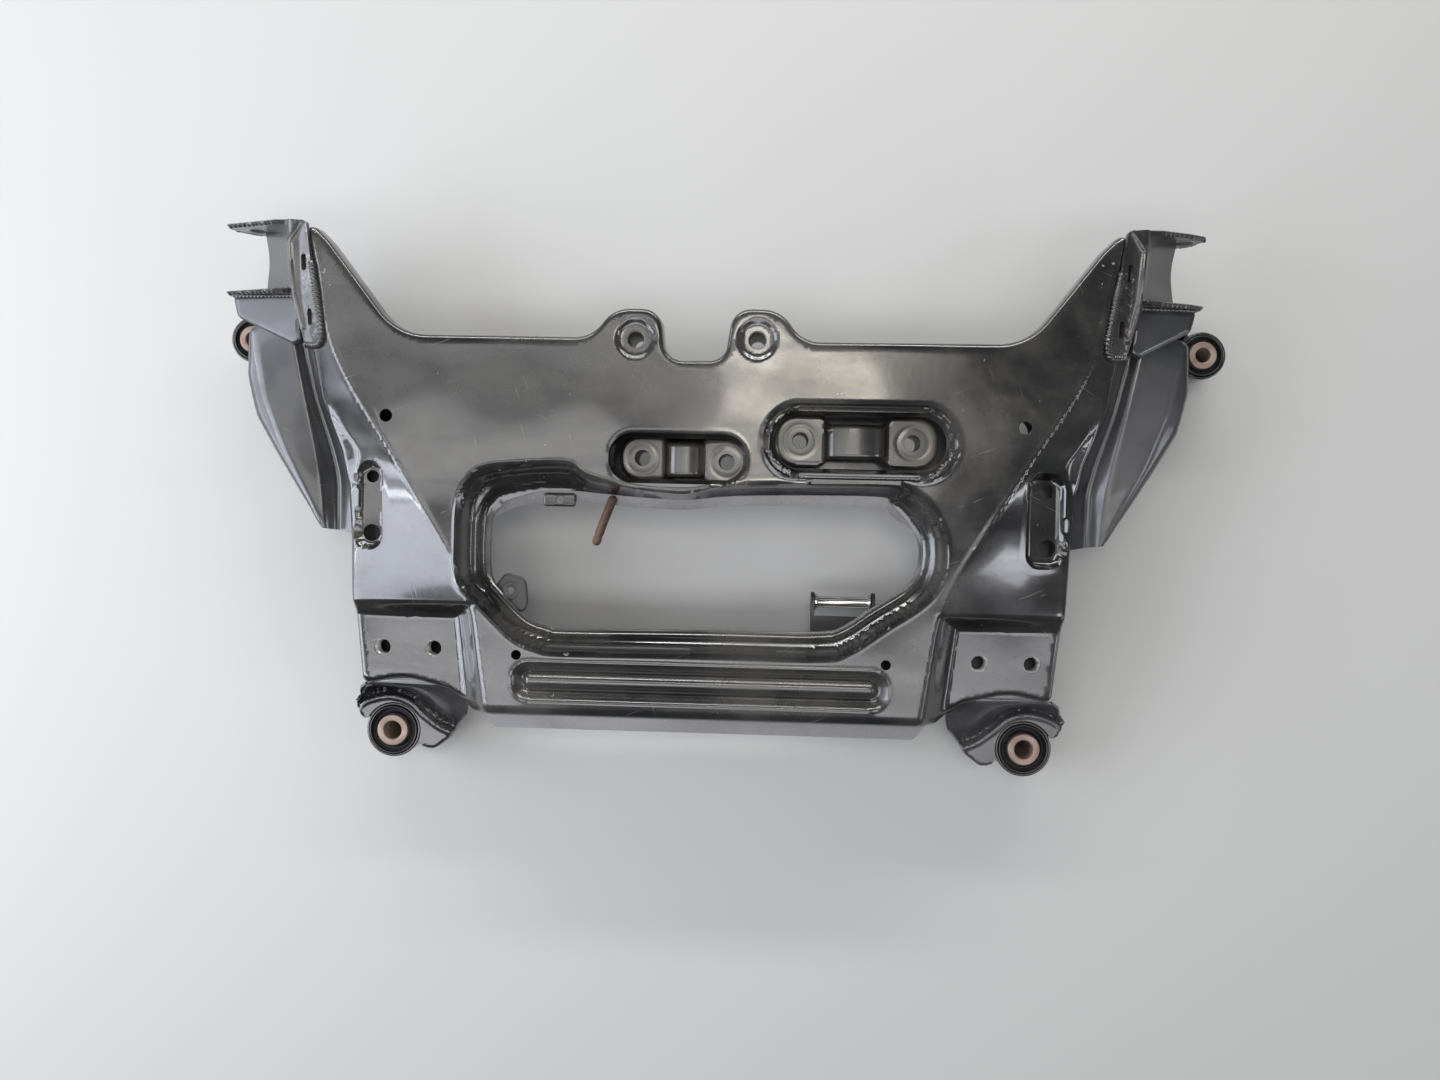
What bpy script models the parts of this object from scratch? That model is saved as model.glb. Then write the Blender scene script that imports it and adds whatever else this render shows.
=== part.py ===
"""Front subframe: two pressed shells, side arms, brackets, collars and four rubber mounts.

All sizes are in millimetres. X runs across the car, Y towards the arm brackets, Z up.
Every pressing is a list of contours in plan with a height for each, which is
triangulated, given its sheet thickness and closed at its edges.
"""
import math

import bmesh
import bpy
import numpy as np
from mathutils import Vector
from mathutils.geometry import delaunay_2d_cdt

for stale in list(bpy.data.objects):
    bpy.data.objects.remove(stale, do_unlink=True)

MM = 0.001

# Sheet metal and clearances
SHEET = 2.6
BRACKET_SHEET = 4.0
SEAM = 0.4
FACETS = 24

# Heights above the surface that the rubber mounts rest on
TOP_Z = 120.0
FLOOR_Z = 57.5
PAD_Z = 96.0
OPENING_FLANGE_Z = 92.0
POCKET_Z = 91.0
RACK_PLATE_Z = 98.0

# Rolled edge of the upper pressing: how far it turns down, and its inward steps
REAR_TURN_DOWN = 16.0
SIDE_TURN_DOWN = 11.0
FRONT_EDGE_Z = 84.0
ROLL_STEPS = ((0.0, 1.0), (1.1, 0.42), (3.6, 0.0))

# Plan of the upper pressing
REAR_Y = 145.0
FRONT_Y = -183.0
FLANGE_Y = -200.0
NEST = 4.6
HORN_Y = 236.0
EAR_LEFT = (-63.0, 143.0)
EAR_RIGHT = (41.0, 144.0)
EAR_LOBE = 27.0
EAR_BORE = 6.8
EAR_DISH = 16.5
EAR_DISH_DEPTH = 2.5
EAR_COLLAR = 12.0

# Stations of the sloping flank: y, fold x, edge x, edge height
FLANK = (
    (240.0, 346.0, 357.0, 117.0),
    (193.0, 335.0, 356.0, 112.0),
    (150.0, 331.0, 352.0, 106.0),
    (122.0, 321.0, 349.0, 102.0),
    (96.0, 307.0, 345.0, 98.0),
    (55.0, 281.0, 332.0, 95.0),
    (28.0, 264.0, 324.0, 93.0),
    (2.0, 248.0, 320.0, 92.0),
    (-24.0, 232.0, 318.0, 92.0),
    (-48.0, 217.0, 315.0, 95.0),
    (-66.0, 208.0, 314.0, 99.0),
    (-86.0, 199.0, 312.0, 104.0),
    (-184.0, 184.0, 304.0, 104.0),
)

# Lower fold of the flank: y, distance in from the edge
FLANK_FOOT = ((92.0, 0.0), (67.0, 9.0), (45.0, 19.0), (22.0, 8.0), (0.0, 0.0))

# Bolting pads at the front corners
PAD_STEP_Y = -86.0
PAD_Y = -100.0
PAD_INNER_X = 221.0
PAD_TAPER = 0.105
PAD_FRONT_Y = -165.0
PAD_BOLTS_X = (240.0, 285.5)
PAD_BOLT_Y = -129.3
PAD_BOLT_HOLE = 7.4
PAD_NUT_BORE = 6.2
PAD_NUT_AF = 22.0
PAD_NUT_HEIGHT = 13.0

# Central opening: outer edge of its wall paired with its inner edge
OPENING = (
    ((-214, -67), (-190, -63)), ((-216, -25), (-191, -23)), ((-214, 4), (-188, -8)),
    ((-205, 21), (-181, -1)), ((-190, 31), (-176, 4)), ((-149, 35), (-147, 12)),
    ((-118, 35), (-118, 13)), ((-102, 25), (-102, 12)), ((-64, 16), (-64, 9)),
    ((-24, 12), (-24, 7.5)), ((-7, 14), (-7, 8.5)), ((14, 19), (14, 11)),
    ((54, 22), (54, 13)), ((147, 24), (147, 14)), ((172, 21), (160, 8)),
    ((191, 6), (174, -6)), ((203, -15), (184, -22)), ((206, -39), (186, -38)),
    ((202, -58), (182, -55)), ((188, -77), (171, -68)), ((158, -98), (143, -86)),
    ((127, -119), (121, -101)), ((102, -126), (99, -106)), ((15, -126), (15, -107)),
    ((-118, -127), (-118, -109)), ((-144, -124), (-135, -108)), ((-164, -116), (-153, -103)),
    ((-180, -102), (-167, -94)), ((-198, -84), (-180, -79)),
)
OPENING_STEPS = ((0.0, 0.0, 0.0), (0.14, 0.12, 0.12), (0.34, 0.6, 0.45), (0.56, 0.7, 0.79),
                 (0.74, 0.96, 0.95), (1.0, 1.0, 1.0))
NARROW_WALL = 14.0
LEDGE_REACH = 9.0
LOWER_FLANGE_REACH = 9.0
BOX_WALL_REACH = 15.0

# Stiffening bead of the front beam
BEAD_X = (-165.0, 160.0)
BEAD_Y = (-169.0, -135.5)
BEAD_DEPTH = 9.0
BEAD_RIB = 5.0

# Steering rack windows: x range, y range, dish margin, dish depth
RACK_LEFT = ((-80.0, 31.0), (24.5, 59.5), 3.0, 3.0)
RACK_RIGHT = ((57.0, 204.0), (36.5, 82.0), 9.5, 7.0)
RACK_BOLTS_LEFT = ((-57.0, 43.0), (16.5, 41.0))
RACK_BOLTS_RIGHT = ((80.0, 61.0), (177.0, 60.5))
RACK_BORE = 6.7
RACK_COLLAR = 12.5
RACK_DISC = 20.0
RACK_HUMP = 9.0

# Lower pressing
ACCESS_HOLE = 12.5
FLOOR_RIB = 5.0

# Side arms and corner brackets
ARM_EDGE_Z = 70.0
ARM_TRAY_Z = 36.0
ARM_TRAY_TOP = 72.6
ARM_BRIM_Z = 65.0
ARM_NEST = 1.2
ARM_EDGE = ((349.0, -24.0, 7.0), (369.0, 7.0, 20.0), (391.0, 43.0, 20.0), (409.0, 74.0, 25.0),
            (417.0, 110.0, 25.0), (414.0, 154.0, 7.0))
ARM_FOLDS = (
    ((334.0, -18.0, 76.0), (334.0, 22.0, 75.0), (341.0, 50.0, 77.0), (354.0, 92.0, 82.0), (362.0, 135.0, 87.0)),
    ((343.0, -14.0, 85.0), (348.0, 22.0, 86.0), (354.0, 60.0, 89.0), (361.0, 100.0, 92.0), (371.0, 148.0, 95.0)),
    ((351.0, -10.0, 87.0), (378.0, 43.0, 90.0), (396.0, 90.0, 92.0), (407.0, 142.0, 92.0)),
)
CORNER_Z = 56.0
CORNER_BROW_Y = -168.4
CORNER_TURN_DOWN = 11.0
CORNER_RIM = ((33.0, 12.0), (29.0, 24.0), (12.0, 31.0), (-3.0, 31.5), (-17.0, 26.0), (-28.0, 16.0),
              (-42.0, 5.5), (-55.0, 0.0))

# Plain holes: x, y, radius
ROUND_HOLES = ((-277.0, 74.0, 5.6), (268.0, 74.0, 5.6), (-160.5, -129.5, 4.4), (156.5, -129.5, 4.4))
POCKET_LEFT = (-311.0, -284.0, -43.0, 36.0)
POCKET_RIGHT = (274.0, 310.0, -46.0, 37.0)
POCKET_HOLES = ((-298.0, 22.0, 5.6), (-298.0, -28.0, 7.6), (294.0, 22.0, 7.0), (296.0, -28.0, 7.8))
POCKET_WALL = 5.0

# Rubber mounts: centre, housing radius, sleeve radius, bore radius, heights
MOUNTS = {
    "left_corner": ((-287.0, -210.5), 25.0, 14.2, 8.3, 62.0),
    "right_corner": ((289.0, -210.5), 25.0, 14.2, 8.3, 62.0),
    "left_side": ((-424.0, 146.5), 21.0, 12.1, 6.4, 58.0),
    "right_side": ((437.0, 146.5), 21.0, 12.1, 6.4, 58.0),
}
HOUSING_WALL = 2.6
SLEEVE_WALL = 1.3
MOUNT_PROUD = 3.0

# Lower control arm brackets: two ears with a web between them
ARM_EAR_Y = (178.5, 241.5)
ARM_BOLT_X = 406.0
ARM_BOLT_Z = 86.0
ARM_BOLT_HOLE = 7.2
ARM_REACH = {"left": 430.0, "right": 421.0}
ARM_WEB_TOP_X = 363.0
ARM_WEB_FOOT_X = 402.0
ARM_WEB_FOOT_Z = 72.0
ARM_SLOTS = ((354.0, 204.0), (348.5, 158.0))

# Torque strut spool and hanger pin inside the opening
SPOOL_X = (95.0, 153.0)
SPOOL_Y = -83.0
SPOOL_Z = 46.0
SPOOL_RADIUS = 5.4
SPOOL_WALL = 1.8
SPOOL_BRACKET_SHEET = 3.0
PIN_RADIUS = 3.4
SPOOL_BORE = SPOOL_RADIUS - SPOOL_WALL


def material(name, colour, roughness, metallic):
    """Return a Principled material with one colour, roughness and metallic value."""
    made = bpy.data.materials.new(name)
    made.use_nodes = True
    shader = made.node_tree.nodes["Principled BSDF"]
    shader.inputs["Base Color"].default_value = (*colour, 1.0)
    shader.inputs["Roughness"].default_value = roughness
    shader.inputs["Metallic"].default_value = metallic
    made.diffuse_color = (*colour, 1.0)
    return made


BLACK_PAINT = ("black_paint", (0.030, 0.031, 0.032), 0.32, 0.0)
BARE_STEEL = ("bare_steel", (0.45, 0.42, 0.38), 0.35, 1.0)
RUSTY_STEEL = ("rusty_steel", (0.30, 0.16, 0.09), 0.65, 0.6)
RUBBER = ("rubber", (0.012, 0.012, 0.013), 0.75, 0.0)


def finish(name, points, faces, look):
    """Make one named object from millimetre points, with its own material."""
    mesh = bpy.data.meshes.new(name)
    mesh.from_pydata([Vector(point) * MM for point in points], [], faces)
    body = bmesh.new()
    body.from_mesh(mesh)
    if body.calc_volume(signed=True) < 0.0:
        bmesh.ops.reverse_faces(body, faces=body.faces)
    body.to_mesh(mesh)
    body.free()
    made = bpy.data.objects.new(name, mesh)
    made.data.materials.append(material(f"{name}_{look[0]}", *look[1:]))
    bpy.context.scene.collection.objects.link(made)
    return made


def corner_arc(before, corner, after, radius, facets=4):
    """Replace one corner of an outline by an arc that touches both its sides."""
    here = Vector(corner)
    back = (Vector(before) - here).normalized()
    ahead = (Vector(after) - here).normalized()
    half = 0.5 * back.angle(ahead)
    if radius <= 0.0 or half > 1.55:
        return [tuple(here)]
    reach = min(radius / math.tan(half), 0.48 * (Vector(before) - here).length,
                0.48 * (Vector(after) - here).length)
    radius = reach * math.tan(half)
    start, end = here + back * reach, here + ahead * reach
    centre = here + (back + ahead).normalized() * radius / math.sin(half)
    count = max(2, round(facets * (math.pi - 2.0 * half) / (0.5 * math.pi)))
    arc = []
    for step in range(count + 1):
        spoke = (start - centre).lerp(end - centre, step / count).normalized()
        arc.append(tuple(centre + spoke * radius))
    return arc


def rounded(corners, facets=4):
    """Turn corners (x, y, radius) into a closed outline with arcs, in order."""
    outline = []
    for index, (x, y, radius) in enumerate(corners):
        before = corners[index - 1][:2]
        after = corners[(index + 1) % len(corners)][:2]
        outline.extend(corner_arc(before, (x, y), after, radius, facets))
    return outline


def split_long(outline, longest):
    """Divide the long sides of a closed outline so that it can follow a slope."""
    divided = []
    for index, point in enumerate(outline):
        following = outline[(index + 1) % len(outline)]
        pieces = max(1, math.ceil(math.dist(point, following) / longest))
        for piece in range(pieces):
            share = piece / pieces
            divided.append(tuple(a + (b - a) * share for a, b in zip(point, following)))
    return divided


def smooth(points, pieces=2):
    """Pass a closed curve through the points, with pieces steps between each pair."""
    curve = []
    count = len(points)
    for index in range(count):
        a, b, c, d = (Vector(points[(index + k - 1) % count]) for k in range(4))
        for piece in range(pieces):
            t = piece / pieces
            curve.append(tuple(0.5 * (2 * b + (c - a) * t + (2 * a - 5 * b + 4 * c - d) * t ** 2
                                      + (3 * b - a - 3 * c + d) * t ** 3)))
    return curve


def area(outline):
    """Signed area of a closed outline, positive when it runs anticlockwise."""
    total = 0.0
    for (x0, y0), (x1, y1) in zip(outline, outline[1:] + outline[:1]):
        total += x0 * y1 - x1 * y0
    return 0.5 * total


def inset(outline, distance):
    """Move a closed outline towards its inside, or outwards by a negative distance."""
    sign = 1.0 if area(outline) > 0.0 else -1.0
    moved = []
    for index, point in enumerate(outline):
        back = Vector(point) - Vector(outline[index - 1])
        ahead = Vector(outline[(index + 1) % len(outline)]) - Vector(point)
        first = Vector((-back.y, back.x)).normalized() * sign
        second = Vector((-ahead.y, ahead.x)).normalized() * sign
        middle = (first + second).normalized()
        reach = distance / max(0.5, middle.dot(first))
        moved.append(tuple(Vector(point) + middle * reach))
    return moved


def circle(centre, radius, facets=FACETS):
    """Closed ring of points around a centre."""
    x, y = centre
    angles = [2.0 * math.pi * step / facets for step in range(facets)]
    return [(x + radius * math.cos(angle), y + radius * math.sin(angle)) for angle in angles]


def slot(x_range, y_range, radius, facets=4):
    """Closed rectangle with rounded corners."""
    (x0, x1), (y0, y1) = x_range, y_range
    return rounded([(x0, y0, radius), (x1, y0, radius), (x1, y1, radius), (x0, y1, radius)], facets)


def inside(point, outline):
    """True where a point lies inside a closed outline."""
    x, y = point
    hit = False
    for (x0, y0), (x1, y1) in zip(outline, outline[1:] + outline[:1]):
        if (y0 > y) != (y1 > y) and x < x0 + (y - y0) * (x1 - x0) / (y1 - y0):
            hit = not hit
    return hit


def lift(outline, height):
    """Give each point of an outline a height, from a number or a function of x and y."""
    if callable(height):
        return [(x, y, height(x, y)) for x, y in outline]
    return [(x, y, height) for x, y in outline]


def thicken(points, faces, thickness):
    """Offset of each point that keeps the wall even on all the faces that meet there."""
    points = np.array(points)
    faces = np.array(faces)
    sides = points[faces]
    normals = np.cross(sides[:, 1] - sides[:, 0], sides[:, 2] - sides[:, 0])
    normals /= np.linalg.norm(normals, axis=1)[:, None]
    matrix = np.zeros((len(points), 3, 3))
    target = np.zeros((len(points), 3))
    for corner in range(3):
        a = sides[:, (corner + 1) % 3] - sides[:, corner]
        b = sides[:, (corner + 2) % 3] - sides[:, corner]
        cosine = (a * b).sum(1) / np.linalg.norm(a, axis=1) / np.linalg.norm(b, axis=1)
        angle = np.arccos(np.clip(cosine, -1.0, 1.0))[:, None]
        np.add.at(matrix, faces[:, corner], angle[:, :, None] * normals[:, :, None] * normals[:, None])
        np.add.at(target, faces[:, corner], angle * normals)
    mean = target / np.linalg.norm(target, axis=1)[:, None]
    matrix += 0.05 * np.eye(3)
    shift = np.linalg.solve(matrix, (target + 0.05 * mean)[:, :, None])[:, :, 0] * abs(thickness)
    length = np.linalg.norm(shift, axis=1)
    shift *= np.minimum(1.0, 1.5 * abs(thickness) / length)[:, None]
    return points + shift * math.copysign(1.0, thickness)


def fill(outline, contours, voids, creases, surface):
    """Triangulate the plan between an outline and its voids, through every contour."""
    points, edges = [], []
    closed = [outline, *contours, *voids]
    for index, chain in enumerate([*closed, *creases]):
        first = len(points)
        points.extend(chain)
        edges.extend((first + k, first + k + 1) for k in range(len(chain) - 1))
        if index < len(closed):
            edges.append((first + len(chain) - 1, first))
    flat = [Vector(point[:2]) for point in points]
    placed, _, triangles, sources, _, _ = delaunay_2d_cdt(flat, edges, [], 0, 1e-4)
    skin = [(p.x, p.y, points[s[0]][2] if s else surface(p.x, p.y)) for p, s in zip(placed, sources)]
    rim = [point[:2] for point in outline]
    cuts = [[point[:2] for point in void] for void in voids]
    kept = []
    for triangle in triangles:
        middle = tuple(sum(skin[k][axis] for k in triangle) / 3.0 for axis in (0, 1))
        if inside(middle, rim) and not any(inside(middle, cut) for cut in cuts):
            kept.append(tuple(triangle))
    used = sorted({k for triangle in kept for k in triangle})
    rank = {old: new for new, old in enumerate(used)}
    return [skin[k] for k in used], [tuple(rank[k] for k in triangle) for triangle in kept]


def pressing(name, look, outline, contours, voids, creases, surface, thickness):
    """Closed solid of a pressed sheet.

    outline, contours and voids are closed lists of (x, y, z), creases are open ones.
    A positive thickness goes up from these heights and a negative one goes down.
    """
    skin, faces = fill(outline, contours, voids, creases, surface)
    other = [tuple(point) for point in thicken(skin, faces, thickness)]
    return close_sheet(name, look, skin, faces, other, thickness > 0.0)


def plate(name, look, outline, voids, low, high, axes="xyz"):
    """Flat plate with holes, drawn in the plane of its first two axes."""
    skin, faces = fill(lift(outline, low), [], [lift(void, low) for void in voids], [], None)
    order = ["xyz".index(axis) for axis in axes]
    mirrored = axes in ("xzy", "yxz", "zyx")
    turn = [tuple(point[order.index(k)] for k in range(3)) for point in skin]
    far = [tuple((*point[:2], high)[order.index(k)] for k in range(3)) for point in skin]
    return close_sheet(name, look, turn, faces, far, not mirrored)


def close_sheet(name, look, skin, faces, other, other_on_top):
    """Close the open edges between two skins that share their triangles."""
    count = len(skin)
    upper, lower = (count, 0) if other_on_top else (0, count)
    solid = [tuple(k + upper for k in face) for face in faces]
    solid += [tuple(k + lower for k in reversed(face)) for face in faces]
    directed = {(face[k], face[(k + 1) % 3]) for face in faces for k in range(3)}
    for a, b in sorted(directed):
        if (b, a) not in directed:
            solid.append((a + lower, b + lower, b + upper, a + upper))
    return finish(name, [*skin, *other], solid, look)


def turned(name, look, profile, centre, facets=FACETS):
    """Closed ring from a closed profile of (radius, z) around a vertical axis."""
    x, y = centre
    points, faces = [], []
    for step in range(facets):
        angle = 2.0 * math.pi * step / facets
        for radius, z in profile:
            points.append((x + radius * math.cos(angle), y + radius * math.sin(angle), z))
    count = len(profile)
    for step in range(facets):
        here, after = step * count, (step + 1) % facets * count
        for k in range(count):
            following = (k + 1) % count
            faces.append((here + k, after + k, after + following, here + following))
    return finish(name, points, faces, look)


def tube(name, look, centre, inner, outer, bottom, top, chamfer=0.0, facets=FACETS):
    """Turned sleeve, with a chamfer on its outer edges where one is given."""
    profile = [(inner, bottom), (outer, bottom), (outer, top), (inner, top)]
    if chamfer > 0.0:
        profile = [(inner, bottom), (outer - chamfer, bottom), (outer, bottom + chamfer),
                   (outer, top - chamfer), (outer - chamfer, top), (inner, top)]
    return turned(name, look, profile, centre, facets)


def hex_nut(name, look, centre, bore, across, bottom, top):
    """Hexagonal weld nut: its flats stand on a round bore."""
    x, y = centre
    facets = 12
    corner = 0.5 * across / math.cos(math.pi / 6.0)
    points, faces = [], []
    for step in range(facets):
        angle = 2.0 * math.pi * step / facets
        flat = (angle + math.pi / 6.0) % (math.pi / 3.0) - math.pi / 6.0
        reach = 0.5 * across / math.cos(flat)
        for radius, z in ((bore, bottom), (reach, bottom), (reach, top), (bore, top)):
            radius = min(radius, corner)
            points.append((x + radius * math.cos(angle), y + radius * math.sin(angle), z))
    for step in range(facets):
        here, after = step * 4, (step + 1) % facets * 4
        for k in range(4):
            following = (k + 1) % 4
            faces.append((here + k, after + k, after + following, here + following))
    return finish(name, points, faces, look)


def interpolate(rows, value, column):
    """Read one column of rows that are sorted by a falling first column."""
    if value >= rows[0][0]:
        return rows[0][column]
    for above, below in zip(rows, rows[1:]):
        if value >= below[0]:
            share = (value - below[0]) / (above[0] - below[0])
            return below[column] + (above[column] - below[column]) * share
    return rows[-1][column]


def pad_foot_x(y):
    """Inner edge of a bolting pad, which leans outwards towards its rear end."""
    return PAD_INNER_X - PAD_TAPER * (PAD_Y - y)


def flank_foot_x(y):
    """Lower fold of the flank, beyond which it runs level to its edge."""
    return interpolate(FLANK, y, 2) - interpolate(FLANK_FOOT, y, 1)


def body_height(x, y):
    """Height of the upper pressing before its beads, holes and rolled edge."""
    across = abs(x)
    fold = interpolate(FLANK, y, 1)
    fall = min(1.0, max(0.0, (across - fold) / (flank_foot_x(y) - fold)))
    flank = TOP_Z - (TOP_Z - interpolate(FLANK, y, 3)) * fall
    if y >= PAD_STEP_Y:
        return flank
    step = max(0.0, (y - PAD_Y) / (PAD_STEP_Y - PAD_Y))
    foot = pad_foot_x(y)
    wall = min(1.0, max(0.0, (foot - across) / max(1.0, foot - fold)))
    return PAD_Z + (flank - PAD_Z) * max(step, wall)


HORN_TIP = ((328.0, HORN_Y - 13.0, 14.0), (341.0, HORN_Y, 7.0), (358.0, HORN_Y - 2.0, 7.0),
            (357.0, 205.0, 10.0))
HORN_CUT = ((314.0, 204.0, 14.0), (357.0, 204.0, 16.0))
FLANK_EDGE = ((352.0, 150.0, 20.0), (344.0, 90.0, 30.0), (327.0, 45.0, 30.0), (321.0, 15.0, 20.0),
              (316.0, -50.0, 20.0), (311.0, PAD_Y + 2.0, 10.0), (305.0, PAD_FRONT_Y, 10.0))
UPPER_FRONT = ((224.0, PAD_FRONT_Y - 1.0, 12.0), (204.0, FRONT_Y - 1.0, 10.0))
LOWER_FRONT = ((226.0, PAD_FRONT_Y, 8.0), (206.0, -184.0, 8.0), (184.0 + NEST, FLANGE_Y - NEST, 10.0))


def shell_outline(horn, front):
    """Corners of a whole pressing, clockwise from the notch between the ears."""
    (lx, ly), (rx, ry) = EAR_LEFT, EAR_RIGHT
    lobe = EAR_LOBE
    ears = [
        (lx - 38.0, REAR_Y, 28.0), (lx - 20.0, ly + lobe, 36.0), (lx + 22.0, ly + lobe, 18.0),
        (lx + 26.0, ly - 17.0, 16.0), (rx - 28.0, ry - 17.0, 14.0), (rx - 22.0, ry + lobe, 18.0),
        (rx + 20.0, ry + lobe, 36.0), (rx + 38.0, REAR_Y - 1.0, 28.0),
    ]
    half = ((268.0, REAR_Y, 50.0), *horn, *FLANK_EDGE, *front)
    return ears + list(half) + [(-x, y, radius) for x, y, radius in reversed(half)]


def turn_down(x, y):
    """How far the rolled edge goes down at this place of the outline."""
    if y < PAD_FRONT_Y - 2.0:
        return body_height(x, y) - FRONT_EDGE_Z
    if abs(x) > interpolate(FLANK, y, 1) and y < HORN_Y - 20.0:
        return SIDE_TURN_DOWN
    return REAR_TURN_DOWN


def opening_loops():
    """Smooth outer and inner edges of the central opening, with paired points."""
    outer = smooth([pair[0] for pair in OPENING])
    inner = smooth([pair[1] for pair in OPENING])
    return outer, inner


def rolled_rings():
    """Rings of the rolled edge, from its free edge to the flat."""
    outline = split_long(rounded(shell_outline(HORN_TIP, UPPER_FRONT)), 34.0)
    rings = []
    for distance, share in ROLL_STEPS:
        ring = inset(outline, distance)
        heights = [body_height(x, y) - share * turn_down(*edge) for (x, y), edge in zip(ring, outline)]
        rings.append([(x, y, z) for (x, y), z in zip(ring, heights)])
    return rings


def apart(line, loop):
    """Parts of an open line that lie outside a closed loop."""
    parts = [[]]
    for point in line:
        if inside(point[:2], loop):
            parts.append([])
        else:
            parts[-1].append(point)
    return [part for part in parts if len(part) > 1]


def flank_creases():
    """Fold lines between the top plane, the flanks, the step and the bolting pads."""
    creases = []
    for side in (-1.0, 1.0):
        fold = [(side * row[1], row[0], TOP_Z) for row in FLANK[1:-1]]
        wall_front = FRONT_Y + 12.0
        fold.append((side * interpolate(FLANK, wall_front, 1), wall_front, TOP_Z))
        creases.extend(apart(fold, opening_loops()[0]))
        feet = [(side * flank_foot_x(y), y) for y, _ in FLANK_FOOT[1:-1]]
        creases.append(lift(feet, body_height))
        step_x = interpolate(FLANK, PAD_STEP_Y, 2) - 9.0
        creases.append([(side * interpolate(FLANK, PAD_STEP_Y, 1), PAD_STEP_Y, TOP_Z),
                        (side * step_x, PAD_STEP_Y, body_height(step_x, PAD_STEP_Y))])
        pad_end = PAD_FRONT_Y + 8.0
        creases.append([(side * (step_x - 1.0), PAD_Y, PAD_Z), (side * PAD_INNER_X, PAD_Y, PAD_Z),
                        (side * pad_foot_x(pad_end), pad_end, PAD_Z)])
    return creases


def make_upper_shell():
    """Upper pressing with its rolled edge, opening wall, bead, windows, pockets and holes."""
    rolled = rolled_rings()
    contours = rolled[1:]
    outer, inner = opening_loops()
    steps = []
    narrow = [math.dist(a, b) < NARROW_WALL for a, b in zip(outer, inner)]
    for share, wide_fall, narrow_fall in OPENING_STEPS:
        ring = [(a[0] + (b[0] - a[0]) * share, a[1] + (b[1] - a[1]) * share) for a, b in zip(outer, inner)]
        tops = [body_height(x, y) for x, y in outer]
        falls = [narrow_fall if tight else wide_fall for tight in narrow]
        steps.append([(x, y, top - (top - OPENING_FLANGE_Z) * fall)
                      for (x, y), top, fall in zip(ring, tops, falls)])
    contours += steps[:-1]
    voids = [steps[-1]]
    for x_range, y_range, margin, depth in (RACK_LEFT, RACK_RIGHT):
        window = slot(x_range, y_range, 0.5 * (y_range[1] - y_range[0]) - 1.0)
        brim = inset(window, -margin)
        contours.append(lift(brim, TOP_Z))
        contours.append(lift(inset(brim, 0.5 * margin), TOP_Z - 0.7 * depth))
        voids.append(lift(window, TOP_Z - depth - 2.0))
    bead = slot(BEAD_X, BEAD_Y, 15.0, 4)
    contours.append(lift(bead, TOP_Z))
    contours.append(lift(inset(bead, 4.5), TOP_Z - BEAD_DEPTH))
    contours.append(lift(inset(bead, 8.5), TOP_Z - BEAD_DEPTH))
    contours.append(lift(inset(bead, 12.0), TOP_Z - BEAD_DEPTH + BEAD_RIB))
    for centre in (EAR_LEFT, EAR_RIGHT):
        contours.append(lift(circle(centre, EAR_DISH, 20), TOP_Z))
        contours.append(lift(circle(centre, EAR_DISH - 2.5, 20), TOP_Z - EAR_DISH_DEPTH))
        voids.append(lift(circle(centre, EAR_BORE + 1.2, 20), TOP_Z - EAR_DISH_DEPTH))
    for x0, x1, y0, y1 in (POCKET_LEFT, POCKET_RIGHT):
        pocket = split_long(slot((x0, x1), (y0, y1), 13.0, 4), 20.0)
        contours.append(lift(pocket, body_height))
        contours.append(lift(inset(pocket, POCKET_WALL), POCKET_Z))
    for x, y, radius in POCKET_HOLES:
        voids.append(lift(circle((x, y), radius, 14), POCKET_Z))
    for x, y, radius in ROUND_HOLES:
        voids.append(lift(circle((x, y), radius, 14), TOP_Z))
    for side in (-1.0, 1.0):
        for x in PAD_BOLTS_X:
            voids.append(lift(circle((side * x, PAD_BOLT_Y), PAD_BOLT_HOLE, 16), PAD_Z))
    return pressing("upper_shell", BLACK_PAINT, rolled[0], contours, voids, flank_creases(),
                    body_height, -SHEET)


def lower_inner_loop():
    """Edge of the lower pressing in the opening: a ledge shows along its rear side."""
    loop = []
    for x, y in opening_loops()[1]:
        share = min(1.0, max(0.0, (y + 12.0) / 14.0))
        loop.append((x, y - LEDGE_REACH * share))
    return loop


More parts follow.
